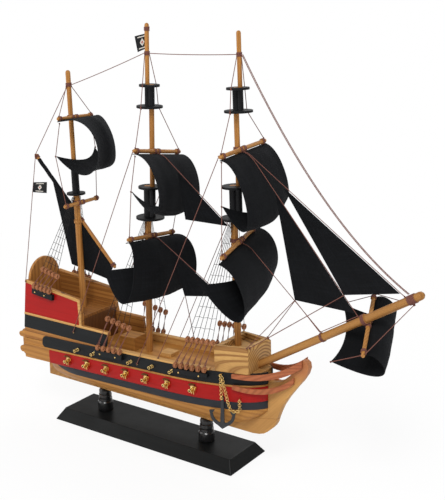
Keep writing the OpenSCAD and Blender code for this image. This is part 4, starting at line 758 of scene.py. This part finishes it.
WRAP_YS = [mix(WRAP_FROM, LATEEN_SHIFT + LATEEN_HALF - WRAP_END, i / WRAP_N) for i in range(WRAP_N + 1)]
WRAP_AS = [-2 * math.pi * k / WRAP_SIDES for k in range(WRAP_SIDES + 1)]
b = Builder()
b.grid([[wrap_at(y, a) for a in WRAP_AS] for y in WRAP_YS],
       [[(y * MM, a * SLIM_D * MM / 2) for a in WRAP_AS] for y in WRAP_YS])
b.make("lateen_head_wrap", "lateen", cotton, "black_cloth", 60)

OUTER_TACK = sprit_pt((-SPRIT_D / 2 - NEAR_D, 0, 184))
INNER_TACK = sprit_pt((-SPRIT_D / 2 - NEAR_D, 0, 130))
OUTER_T, INNER_T, TOP_T, LOW_T, STAY_T = 0.09, 0.16, 0.17, 0.11, 0.12
TOP_TACK = mast_pt(FORE_M, (-LOWER_D / 2 - NEAR_D, 0, 125))
LOW_TACK = mast_pt(FORE_M, (-LOWER_D / 2 - NEAR_D, 0, 42))
HANG = V(0, 0, -THREAD_D / 2 - CLOTH_T / 2 - 0.65)
# how far a thread lies over a whipping, the bowsprit's lashing, and the place of the ties at its end
OVER, LASH_S, TIE_S = 0.7, 82, 189


def sprit_top(s):
    return sprit_pt((-SPRIT_D / 2 - NEAR_D - OVER, 0, s))


LASH_PT = sprit_top(LASH_S + 1.5)
OUTER_CLEW, INNER_CLEW = V(232, 0, 208), V(178.5, 0, 193.3)
TOP_CLEW, LOW_CLEW = V(54.8, -12.7, 261.2), V(43, 0, 173.3)
STAYSAILS = {
    # name: sail that carries the head, place on it, tack, head and tack along the luff, clew, belly
    "flying_staysail": ("fore_topsail", OUTER_T, OUTER_TACK, 0.23, 0.97, OUTER_CLEW, 4),
    "jib_staysail": ("fore_topsail", INNER_T, INNER_TACK, 0.21, 0.97, INNER_CLEW, 4),
    "main_top_staysail": ("main_topsail", TOP_T, TOP_TACK, 0.16, 0.96, TOP_CLEW, 3),
    "main_staysail": ("main_course", LOW_T, LOW_TACK, 0.17, 0.84, LOW_CLEW, 3),
}


def staysail(name, seed):
    carrier, t, tack, h, e, clew, belly = STAYSAILS[name]
    head = face_pt(carrier, t)
    a, b = mix(head, tack, h) + HANG, mix(head, tack, e) + HANG
    up = (b - a).cross(clew - a).normalized()

    def at(u, v, off):
        w = 0.012 + 0.988 * v
        p = mix(a, mix(b, clew, u), w)
        return p + up * (off + belly * 8 * w * (1 - w * w) * u * (1 - u))
    o, flat, area = sheet_mesh(name, at, 34, 44, cotton, "black_cloth", None, seed, 0.45)
    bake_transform(o)
    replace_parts(o, "stay_sails")


for k, sail_name in enumerate(STAYSAILS):
    staysail(sail_name, 41.9 + 5.3 * k)

PEAK = lateen_pt((-SLIM_D / 2 - BAND_T - NEAR_D, LATEEN_SHIFT + LATEEN_HALF - 4, 0))
RING_Z = CASTLE_AFT_Z - 1.6
STERN_RING = V(STERN_X + 1.8, -side_y(STERN_X, RING_Z) - STRAKE_T - 0.7 - NEAR_D, RING_Z)
FLAG_HOIST = mast_pt(MAIN_M, (MAIN_GX, GALLANT_D / 2 + CLOTH_T / 2 + 0.2, 340)) - V(0.5, 0, 0)


def flag(name, a, b, c, d, wave, body):
    up = (b - a).cross(d - a).normalized()

    def at(u, v, off):
        p = mix(mix(a, b, u), mix(d, c, u), v)
        return p + up * (wave * math.sin(5.2 * u + 1.1 * v) * ease(u * 2) + off)
    o, flat, area = sheet_mesh(name, at, 30, 22, flag_cloth, "black_cloth", body, 2.2, 0.15, 0.8, unit=True)
    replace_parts(o, "flags")
    return o


h = V(0, 0, 7.5)
p, q = FLAG_HOIST + h, FLAG_HOIST - h
flag("masthead_flag", p, p + V(-17, 0, -4), q + V(-14, 0, -5), q, -0.8, "ship")
p, q = mix(PEAK, STERN_RING, 0.2) + V(1, -0.6, 0), mix(PEAK, STERN_RING, 0.28) + V(1, -0.6, 0)
o = flag("stern_flag", p, p + V(24, -2, 3), q + V(24, -2, 2), q, 0.7, None)
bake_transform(o)


# Threads

def straight(a, b, n=1, sag=0.0):
    a, b = V(*a), V(*b)
    return [mix(a, b, k / n) - V(0, 0, 4 * sag * k / n * (1 - k / n)) for k in range(n + 1)]


COIL_WIRE, KNOT_WIRE, END_KNOT = 0.36, 0.34, 0.75


def coil(b, centre, axis, r, z0, z1):
    """Thread wound close round a spar from z0 to z1 along its axis."""
    axis, e, f = axes_of(axis)
    turns = max(2, round((z1 - z0) / (COIL_WIRE * 1.9)))
    path = []
    for k in range(turns * 16 + 1):
        t = 2 * math.pi * k / 16
        path.append(V(*centre) + axis * mix(z0, z1, k / (turns * 16)) + (e * math.cos(t) + f * math.sin(t)) * r)
    b.tube(path, COIL_WIRE, 6)


def knot(b, place, r):
    """A small lump of thread: three crossed loops."""
    for n in ((1, 0.3, 0.2), (0.1, 1, 0.4), (0.5, 0.2, 1)):
        axis, e, f = axes_of(n)
        turns = (2 * math.pi * k / 12 for k in range(13))
        b.tube([V(*place) + (e * math.cos(t) + f * math.sin(t)) * r for t in turns], KNOT_WIRE, 6, caps=False)


THREAD_R, LANYARD_R, NET_R, RATLINE_R = 0.4, 0.26, 0.28, 0.22


def line_piece(name, path, body, fixed=None, moving=None):
    """A brown line: rides on one body, or, when fixed is given, on no body at all."""
    b = Builder()
    b.tube(path, THREAD_R, 8)
    for end in (path[0], path[-1]):
        knot(b, end, END_KNOT)
    o = b.make(name, None if fixed else body, brown_thread, "brown_thread")
    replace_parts(o, "running_rigging")
    if fixed is not None:
        V(*fixed) * MM
        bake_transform(o)


def luff_line(name, carrier, t, tack, k):
    n = math.ceil(t / 0.06)
    side = V(0, 0.9 * k, 0)
    path = [face_pt(carrier, t * (i + 0.4) / n) + side for i in range(n)]
    end = face_pt(carrier, t) + V(0.6, 0, -0.3) + side
    line_piece(name, path + straight(end, tack, 28), carrier, tack, face_pt(carrier, t))


luff_line("flying_luff", "fore_topsail", OUTER_T, OUTER_TACK, 1)
luff_line("jib_luff", "fore_topsail", INNER_T, INNER_TACK, -1)
luff_line("main_top_luff", "main_topsail", TOP_T, TOP_TACK, 0)
luff_line("main_luff", "main_course", LOW_T, LOW_TACK, 0)
luff_line("fore_stay", "fore_course", STAY_T, LASH_PT + V(0, 0.8, 0), 0)
SIDES = ((-1, "near"), (1, "far"))
YARD_BELOW = {"main_topsail": "main_course", "fore_topsail": "fore_course", "mizzen_topsail": "crossjack"}
for upper, lower in YARD_BELOW.items():
    for k, side in SIDES:
        top = arm_pt(YARDS[upper], k, -1) - V(0, 0, 2.6)
        clew = clew_pt(upper, k) + V(0, k * NEAR_D, 0)
        foot = arm_pt(YARDS[lower], k, 1)
        line_piece(f"{upper}_tie_{side}", straight(top, clew, 12), upper)
        line_piece(f"{upper}_sheet_{side}", straight(clew - V(0, 0, 0.3), foot, 12), upper)


def rim_pt(m, off, d, z, side):
    return mast_pt(m, (off[0], off[1] + side * (d / 2 + NEAR_D), z))


for k, side in SIDES:
    lifts = (("main_topsail", rim_pt(MAIN_M, ((MAIN_GX + TOP_OFF) / 2, 0), MAIN_RIMS[0], MAIN_UP[0], k)),
             ("fore_topsail", rim_pt(FORE_M, ((FORE_GX + TOP_OFF) / 2, 0), FORE_RIMS[0], FORE_UP[0], k)),
             ("mizzen_topsail", rim_pt(MIZZEN_M, MIZ_OFF, TOP_D + 1.4, 252, k)))
    for yard, top in lifts:
        arm = arm_pt(YARDS[yard], k, 1)
        line_piece(f"{yard}_lift_{side}", straight(top, arm, 20), yard, top, arm)
    for yard, x, z in (("main_topsail", -90, 116), ("fore_topsail", 4, 99)):
        arm = arm_pt(YARDS[yard], k, 0) + V(-YARD_D / 2 - NEAR_D, 0, 0)
        foot = V(x, -k * side_pt(x, z, STRAKE_T + NEAR_D).y, z)
        line_piece(f"{yard}_brace_{side}", straight(foot, arm, 28), yard, foot, arm)
    tip = sprit_pt((SPRIT_D / 2 + NEAR_D + OVER, 0, TIE_S)) + V(0, k * 0.8, 0)
    arm = spr_pt((SLIM_D / 2 + NEAR_D, k * (SPR_HALF - 3), 0))
    clew = spr_pt(sail_at(SAILS["spritsail"], SLIM_D / 2, k, 1, 0) + V(0, k * NEAR_D, 0))
    line_piece(f"spritsail_lift_{side}", straight(tip, arm, 16), "spritsail", tip, arm)
    aft = spr_pt((-SLIM_D / 2 - NEAR_D, k * (SPR_HALF - 3), 0))
    line_piece(f"spritsail_sheet_{side}", straight(aft, clew, 10), "spritsail")
top = mast_pt(MIZZEN_M, (MIZ_OFF[0] - TOP_D / 2 - NEAR_D - OVER, MIZ_OFF[1], 250))
line_piece("lateen_lift", straight(top, PEAK + V(0, 0, 2.4), 24), "lateen", top, PEAK)
line_piece("lateen_vang", straight(STERN_RING, PEAK, 28), "lateen", STERN_RING, PEAK)

# the whippings of the yards, each on its own yard
WHIP_OFF, WHIP_HALF, LASH_HALF, INNER_WHIP = 0.62, 1.7, 1.9, 3.2


def whip(b, pt, d, places):
    along = pt((0, 1, 0)) - pt((0, 0, 0))
    for place in places:
        coil(b, pt((0, 0, 0)), along, d / 2 + WHIP_OFF, place - WHIP_HALF, place + WHIP_HALF)


def lash(b, centre, axis, d):
    coil(b, centre, axis, d / 2 + RUN_GAP + LASH_T + 0.2, -LASH_HALF, LASH_HALF)


for name, y in YARDS.items():
    b = Builder()
    end = y.half * 0.86
    whip(b, lambda p: yard_pt(y, p), y.d, (y.shift - end, -INNER_WHIP, INNER_WHIP, y.shift + end))
    lash(b, mast_pt(y.mast, (*y.axis, y.height)), turn((0, 0, 1), "Y", y.mast[2]), y.spar_d)
    b.make(name + "_whipping", name, brown_thread, "brown_thread")
b = Builder()
whip(b, lateen_pt, SLIM_D, (LATEEN_SHIFT - LATEEN_HALF * 0.95, 0, LATEEN_SHIFT + LATEEN_HALF * 0.95))
b.make("lateen_whipping", "lateen", brown_thread, "brown_thread")
b = Builder()
whip(b, spr_pt, SLIM_D, (-SPR_HALF * 0.84, -INNER_WHIP, INNER_WHIP, SPR_HALF * 0.84))
lash(b, sprit_pt((0, 0, SPR_S)), sprit_pt((0, 0, 1)) - sprit_pt((0, 0, 0)), SPRIT_D)
b.make("spritsail_whipping", "spritsail", brown_thread, "brown_thread")

# fixed lines: stays, lanyards of the deadeyes, whippings of masts and bowsprit
BEAD_D, BEAD_T, CHAN_W = 6.8, 3, 4.4
BEAD_OFF = STRAKE_T + 0.7 + BEAD_D / 2 + 0.3
HEAD_SAG, BOW_SAG = 0.8, 25


def row(a, b, n):
    return [mix(a, b, i / (n - 1)) for i in range(n)]


def low_row(a, b, n, z):
    up = (STRAKE_T + CHAN_W) * TUMBLE + LIE_GAP + BEAD_D / 2
    return [side_pt(x, z(x) + up, BEAD_OFF) for x in row(a, b, n)]


# lower row, upper row, mast, height of the net's head on it
DEADEYES = (
    (low_row(-149, -125.5, 5, lambda x: mix(156.4, 153, (x + 153) / 32)),
     row(V(-139.5, -27, 180), V(-118, -27, 175), 5), MIZZEN_M, 131.4),
    (low_row(-49, -18, 5, lambda x: mix(103.3, 104.7, (x + 53) / 39)),
     row(V(-39, -32.6, 141), V(-9, -32.6, 136), 5), MAIN_M, 153.2),
    (low_row(58, 92, 6, lambda x: slope_z(DECK_Z + 4.6, x)),
     row(V(68, -29.5, 138.5), V(99.5, -29.5, 141), 6), FORE_M, 134.6),
)


def flip(p, k):
    return V(p.x, p.y * k, p.z)


def head_pt(m, off, d, z, way):
    return mast_pt(m, (off[0] + way * (d / 2 + NEAR_D + 0.6), off[1], z))


def fc_top_z(x):
    trim = math.atan(RISE)
    return ((DECK_Z + BULWARK_H) * math.cos(trim) + 27) / math.cos(trim) + RISE * x


b = Builder()
for m, off, d, z0, z1 in ((MAIN_M, (MAIN_GX, 0), GALLANT_D, 325, 329),
                          (MAIN_M, (MAIN_GX, 0), GALLANT_D, 349.4, 353.4),
                          (FORE_M, (FORE_GX, 0), GALLANT_D, 295, 299), (MIZZEN_M, MIZ_OFF, TOP_D, 252, 256)):
    coil(b, mast_pt(m, (off[0], off[1], 0)), mast_pt(m, (0, 0, 1)) - mast_pt(m, (0, 0, 0)), d / 2 + 0.4, z0, z1)
for z0, z1 in ((LASH_S, LASH_S + 3), (TIE_S - 3, TIE_S + 5)):
    coil(b, sprit_pt((0, 0, 0)), sprit_pt((0, 0, 1)) - sprit_pt((0, 0, 0)), SPRIT_D / 2 + 0.4, z0, z1)
miz_head = head_pt(MIZZEN_M, MIZ_OFF, TOP_D, MIZZEN_HEAD, 1)
main_aft, main_fwd = (head_pt(MAIN_M, (MAIN_GX, 0), GALLANT_D, MAIN_HEAD, k) for k in (-1, 1))
fore_aft, fore_fwd = (head_pt(FORE_M, (FORE_GX, 0), GALLANT_D, FORE_HEAD, k) for k in (-1, 1))
bow_end_pt = sprit_top(TIE_S)
b.tube(straight(miz_head, main_aft, 8, HEAD_SAG), THREAD_R)
b.tube(straight(main_fwd, fore_aft, 8, HEAD_SAG), THREAD_R)
b.tube(straight(INNER_CLEW - V(0, 0, 0.4), LASH_PT - V(0, 0.8, 0), 8), THREAD_R)
b.tube(straight(LASH_PT, sprit_top(SPR_S - 6), 6), THREAD_R)
for k in (-1, 1):
    b.tube(straight(fore_fwd + V(0, k, 0), bow_end_pt + V(0, k, 0), 24, BOW_SAG), THREAD_R)
    for m, gx, head_z, up, d0, d1 in ((MAIN_M, MAIN_GX, MAIN_HEAD, MAIN_UP, *MAIN_RIMS),
                                      (FORE_M, FORE_GX, FORE_HEAD, FORE_UP, *FORE_RIMS)):
        top = mast_pt(m, (gx, k * (GALLANT_D / 2 + NEAR_D + OVER), head_z))
        rim1 = rim_pt(m, ((gx + TOP_OFF) / 2, 0), d1, up[1] + PLATE_T / 2, k)
        rim0 = rim_pt(m, ((gx + TOP_OFF) / 2, 0), d0, up[0] + PLATE_T / 2, k)
        b.tube([top, rim1, rim0], THREAD_R)
        knot(b, rim1, 0.7)
        knot(b, rim0, 0.7)
    for clew, x, y, z in ((INNER_CLEW, 135, 20, fc_top_z(135) + 0.5),
                          (OUTER_CLEW, 137, 18, fc_top_z(137) + 0.5),
                          (LOW_CLEW, 31, 33, slope_z(DECK_Z + BULWARK_H, 31) + RAIL_T + 0.5)):
        b.tube(straight(clew + V(0, k * 0.9, -0.4), V(x, k * y, z), 4), THREAD_R)
        knot(b, V(x, k * y, z), 0.8)
    for low, high, m, z in DEADEYES:
        for i, (p, q) in enumerate(zip(low, high)):
            for e in (-1.1, 0.1, 1.2):
                r = V(0, 0, BEAD_D / 2 - 0.9)
                b.tube([flip(x, -k) for x in straight(p + r + V(e, 0, 0), q - r - V(e * 0.8, 0, 0), 3)],
                       LANYARD_R)
            knot(b, flip(mix(p, q, 0.16 + 0.03 * math.sin(5 * i)), -k), 0.8)
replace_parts(b.make("standing_lines", "ship", brown_thread, "brown_thread"), "standing_rigging")

# deadeyes: turned rings with a groove for the strop
b = Builder()
R, H = BEAD_D / 2, BEAD_T / 2
RING_HALF = [(R - 1.1, 0.3), (R - 0.1, 0.6), (R, H - 0.7), (R - 0.3, H - 0.25), (R - 0.9, H), (1.5, H),
             (1.1, H - 0.4)]
RING_LOW = [(r, -h) for r, h in RING_HALF[::-1]]
RING = RING_LOW + RING_HALF + RING_LOW[:1]
for k in (-1, 1):
    for low, high, m, z in DEADEYES:
        for p in low + high:
            b.lathe(RING, flip(p, -k), (1, 0, 0), sides=18)
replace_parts(b.make("turned_deadeyes", "ship", bead_wood, "dark_wood", 50), "deadeyes")

# shrouds: a knotted net of black thread
b = Builder()
NET_N = 9
for k in (-1, 1):
    for low, high, m, z in DEADEYES:
        n = len(high)
        tops = [mast_pt(m, ((i - (n - 1) / 2) * 0.9, -LOWER_D / 2 - 0.9, z - 2)) for i in range(n)]
        foot = [p + V(0, 0, BEAD_D / 2 - 0.6) for p in high]
        for i in range(n):
            b.tube([flip(p, -k) for p in straight(foot[i], tops[i], 6)], NET_R, 6)
        for j in range(1, NET_N + 1):
            t = j / (NET_N + 2)
            uneven = [t + 0.004 * math.sin(3.1 * i + 2.3 * j) for i in range(n)]
            across = [mix(foot[i], tops[i], uneven[i]) - V(0, 0.3, 0) for i in range(n)]
            b.tube([flip(p, -k) for p in across], RATLINE_R, 6)
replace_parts(b.make("shroud_net", "ship", black_thread, "black_thread"), "shrouds")


# Hull skins, finer than the solids' facets

BOW_STATIONS = [BOW_START + (BOW_X - BOW_START) * math.sin(math.pi / 2 * k / 48) for k in range(1, 49)]
UP_STATIONS = [STERN_X, GUN_AFT_X, RED_AFT_X, CASTLE_X, QUARTER_X, 0, BOW_START] + BOW_STATIONS
RUN_STATIONS = [RUN_X - (RUN_X - POST_X) * math.cos(math.pi / 2 * k / 28) for k in range(29)]
LOW_STATIONS = RUN_STATIONS + [-40, 0, BOW_START] + BOW_STATIONS


def closed_loft(name, rows, mats, slot, node):
    """Rows of points on the port side, mirrored to starboard and closed all round."""
    b = Builder()
    loops = [r + [flip(p, -1) for p in reversed(r)] for r in rows]
    b.ends(b.grid(loops, wrap=True), len(loops), len(loops[0]))
    o = b.make(name, "ship", mats, slot, 30)
    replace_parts(o, node)


bottom = []
for x in LOW_STATIONS:
    zs = [mix(keel_top(x), slope_z(BOOT_Z, x), ease(k / 16) * 0.5 + (k / 16) * 0.5) for k in range(17)] + [
        mix(slope_z(BOOT_Z, x), slope_z(RED_Z, x), k / 4) for k in range(1, 5)]
    bottom.append([V(x, low_y(x, z), z) for z in zs])
closed_loft("hull_bottom_skin", bottom, hull_wood, "hull_wood", "hull_bottom")


def skin_strip(name, node, xs, levels, off, mat, slot, low=False):
    """A painted band on both sides, a little round at its edges."""
    b = Builder()
    for k in (-1, 1):
        rows = []
        for x in xs:
            n = side_n(x, low)
            zs = levels(x)
            f = low_y if low else side_y
            prof = [(zs[0], 0), (zs[0], off * 0.7), (zs[0] + 0.3, off)] + [(z, off) for z in zs[1:-1]] + [
                (zs[-1] - 0.3, off), (zs[-1], off * 0.7), (zs[-1], 0)]
            rows.append([flip(V(x + o * n.x, f(x, z) + o * n.y, z), k) for z, o in prof])
        if k < 0:
            rows = rows[::-1]
        b.ends(b.grid(rows, wrap=True), len(rows), len(rows[0]))
    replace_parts(b.make(name, "ship", mat, slot, 50), node)


def between(a, b, n):
    return lambda x: [mix(slope_z(a, x), slope_z(b, x), k / n) for k in range(n + 1)]


skin_strip("red_band", "red_strakes", [x for x in UP_STATIONS if RED_AFT_X <= x < BOW_X - 0.01],
           between(RED_Z, RED_Z + RED_H, 8), STRAKE_T, red_paint, "red_paint")
GUN_LOW, GUN_HIGH, GUN_END_R = RED_Z + RED_H + WALE_H, DECK_Z + BULWARK_H, 5


def gun_levels(x):
    u = 1 - min(1, (x - GUN_AFT_X + 0.2) / GUN_END_R)
    c = GUN_END_R * (1 - math.sqrt(1 - u * u))
    zs = (GUN_LOW + c, mix(GUN_LOW, DECK_Z, 0.8), DECK_Z, mix(DECK_Z, GUN_HIGH, 0.4), GUN_HIGH - c)
    return [slope_z(z, x) for z in zs]


GUN_STATIONS = [GUN_AFT_X + GUN_END_R * k for k in (0, 0.06, 0.15, 0.3, 0.5, 0.75, 1)]
GUN_STATIONS += [x for x in UP_STATIONS if GUN_AFT_X + GUN_END_R < x < BOW_X - 0.01]
skin_strip("gun_band", "gun_strakes", GUN_STATIONS, gun_levels, STRAKE_T, black_paint, "black_paint")
BOOT_AFT, BOOT_RUN = -131, 44


def boot_levels(x):
    c = min(0.94, 0 if x > BOOT_AFT + BOOT_RUN else 0.94 * ((BOOT_AFT + BOOT_RUN - x) / BOOT_RUN) ** 2)
    a, z = slope_z(BOOT_Z, x), slope_z(RED_Z, x)
    return [mix(a, z, mix(c, 0.985, k / 4)) for k in range(5)]


# The boot band is black paint; its lighter grey material is painted reflection.
skin_strip("boot_band", "boot_strakes", [x for x in LOW_STATIONS if BOOT_AFT - 2 < x < BOW_X - 0.01],
           boot_levels, STRAKE_T, boot_painted_reflection, "black_paint", low=True)
upper = []
for x in UP_STATIONS:
    n = side_n(x)
    a, c, d, e = (slope_z(z, x) for z in (RED_Z, RED_Z + RED_H, GUN_LOW, DECK_Z))
    upper.append([V(x + o * n.x, side_y(x, z) + o * n.y, z) for z, o in
                  ((a, 0), (mix(a, c, 0.33), 0), (mix(a, c, 0.66), 0), (c, 0), (c + 0.2, WALE_T * 0.75),
                   (c + 0.6, WALE_T), (d - 0.6, WALE_T), (d - 0.2, WALE_T * 0.75), (d, 0), (e, 0))])
closed_loft("hull_upper_skin", upper, hull_wood, "hull_wood", "hull_upper")


# Brass guns, their lids, and the nails

def frame_at(x, z, off, side):
    """Place on the hull's side: origin, along, outward, up. side -1 is starboard."""
    n = side_n(x)
    place = V(x + off * n.x, side * (side_y(x, z) + off * n.y), z)
    return place, V(n.y, -side * n.x, 0), V(n.x, side * n.y, 0), V(0, 0, 1)


CHANNEL_OFF = 5.25
# nails in the channels and in the side, and how far off the side each one's head stands
NAILS = [(x, z, CHANNEL_OFF) for x, z in ((-148, 153.0), (-133, 151.4), (-46, 100.4), (-24, 101.2),
                                          (62, 103.2), (86, 104.0))]
NAILS += [(-90, 115.2, STRAKE_T), (4, 98.2, STRAKE_T)]
NAIL = [(0.95, -0.3), (0.95, 0.25), (0.7, 0.55), (0.3, 0.7), (0, 0.72)]
GUN_XS = [-97 + 28.4 * k for k in range(6)] + [77.5]
BARREL_XS = (-82, -57, -4.4, 25, 52)
GUN_Z = RED_Z + 9
GUN = [(0, 0.2), (1.5, 0.2), (1.8, 0.5), (1.8, 1.1), (1.35, 1.4), (1.3, 2.2), (1.65, 2.35), (1.65, 3.0),
       (1.25, 3.2), (1.15, 4.8), (1.5, 5.0), (1.9, 5.5), (1.9, 6.3), (1.6, 6.5), (0.95, 6.5)]
GUN_KNOB = [(0, 0), (0.8, 0), (0.8, 0.4), (0.4, 0.7), (0, 0.75)]
BORE = [(0.95, 6.5), (0.85, 6.2), (0.8, 4.2), (0, 4.2)]
BARREL = [(0, 0.05), (1.85, 0.05), (1.85, 0.9), (1.4, 1.2), (1.4, 2.1), (1.75, 2.3), (1.75, 3.1), (1.32, 3.4),
          (1.28, 4.6), (1.7, 4.8), (1.75, 5.6), (1.75, 6.5), (1.0, 6.6)]
BARREL_BORE = [(1.0, 6.6), (0.9, 6.2), (0.85, 5.1), (0, 5.1)]


def prism(b, place, axes, outline, depth):
    """An outline in two of the axes, (along, up), pushed outward from depth[0] to depth[1]."""
    along, out, up = axes
    a, c = ([place + along * x + up * z + out * d for x, z in outline] for d in depth)
    b.solid(a, c)


guns, lids, nails = Builder(), Builder(), Builder()
for side in (-1, 1):
    for x in GUN_XS:
        place, along, out, up = frame_at(x, slope_z(GUN_Z, x), STRAKE_T + 0.3, side)
        axes = (along, out, up)
        guns.lathe(GUN, place, out, 0, 22)
        # Material 1 of the guns, on these bores and on the barrels' bores below, is the near-black painted
        # shade.
        guns.lathe(BORE, place, out, 1, 22)
        prism(guns, place, axes, [(-1.6, -3.0), (3.8, -4.2), (5.0, 3.4), (0.8, 4.0), (-2.0, 3.0)], (0, 0.8))
        for s0 in (1.2, 3.6):
            prism(guns, place, axes, [(s0, -3.5), (s0 + 0.8, -3.7), (s0 + 0.8, 2.9), (s0, 2.7)], (0.5, 2.9))
            prism(guns, place, axes, [(s0, -3.5), (s0 + 0.8, -3.7), (s0 + 0.8, -0.4), (s0, -0.4)], (2.8, 4.6))
        guns.lathe(GUN_KNOB, place + along * 2.4 + up * 2.2 + out * 2.4, up, 0, 12)
        lid = place + up * 5.2 - out * 0.2
        a = [lid + along * u + out * v for u, v in ((-3.4, 0), (3.6, 0), (2.6, 3.4), (-2.6, 5.0))]
        lids.solid(a, [p + up * 0.7 - out * 0.02 for p in a])
    for x in BARREL_XS:
        place, along, out, up = frame_at(x, slope_z(GUN_LOW + 6, x), STRAKE_T, side)
        guns.lathe(BARREL, place, out, 0, 22)
        guns.lathe(BARREL_BORE, place, out, 1, 22)
    for x, z, off in NAILS:
        place, along, out, up = frame_at(x, z, off, side)
        nails.lathe(NAIL, place, out, 0, 14)
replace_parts(guns.make("turned_guns", "ship", [brass, bore_painted_shade], "brass", 35), "brass_guns")
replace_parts(lids.make("raised_lids", "ship", dark_wood, "dark_wood", 30), "port_lids")
nails.make("brass_nails", "ship", brass, "brass", 50)


# Finishes of the solids that stay

MASTS = ("main", "fore", "mizzen")
# material, rounding of the edges, nodes
FINISH = (
    (lacquer, 0.9, ["stand_base"]),
    (pillar_lacquer, 0, ["stand_pillars"]),
    (stem_wood, 0.5, ["keel"]),
    (stem_wood, 0.7, ["stem_knee"]),
    (strip_wood, 0.35, ["waist_bulwarks", "castle_rails"]),
    (strip_wood, 0.4, ["deck_hatch"]),
    (wall_wood, 0.3, ["castle_sides"]),
    (red_paint, 0, ["castle_panels"]),
    (black_paint, 0.25, ["quarter_strakes"]),
    (black_paint, 0.3, ["channels"]),
    (hull_wood, 0.4, ["stern_gallery", "deck_cabin"]),
    (arch_wood, 0.5, ["transom"]),
    (deck_wood, 0, ["poop_deck"]),
    (dark_wood, 0, ["poop_bulkhead"]),
    (block_wood, 0.4, ["forecastle"]),
    (rail_wood, 0.4, ["head_rails"]),
    (mast_wood, 0, [f"{m}_{part}" for m in MASTS for part in ("lower_mast", "topmast")]),
    (mast_wood, 0, ["main_topgallant", "fore_topgallant"]),
    (spool_paint, 0.25, [f"{m}_tops" for m in MASTS]),
    (sprit_wood, 0, ["bowsprit"]),
    (yard_wood, 0, [f"{name}_yard" for name in (*YARDS, "spritsail")]),
    (lateen_wood, 0, ["lateen_yard"]),
    (anchor_paint, 0.3, ["anchor"]),
    (brass, 0, ["anchor_chain"]),
)
for material, round_by, node in ((m, r, n) for m, r, nodes in FINISH for n in nodes):
    o = NODES[node]
    o.data.materials.clear()
    o.data.materials.append(material)
    if round_by:
        weld = o.modifiers.new("weld", "WELD")
        weld.merge_threshold = 0.00001
        bevel = o.modifiers.new("edge", "BEVEL")
        bevel.width = round_by * MM
        bevel.segments = 2
        bevel.limit_method = "ANGLE"
        bevel.angle_limit = math.radians(32)
        bevel.harden_normals = False
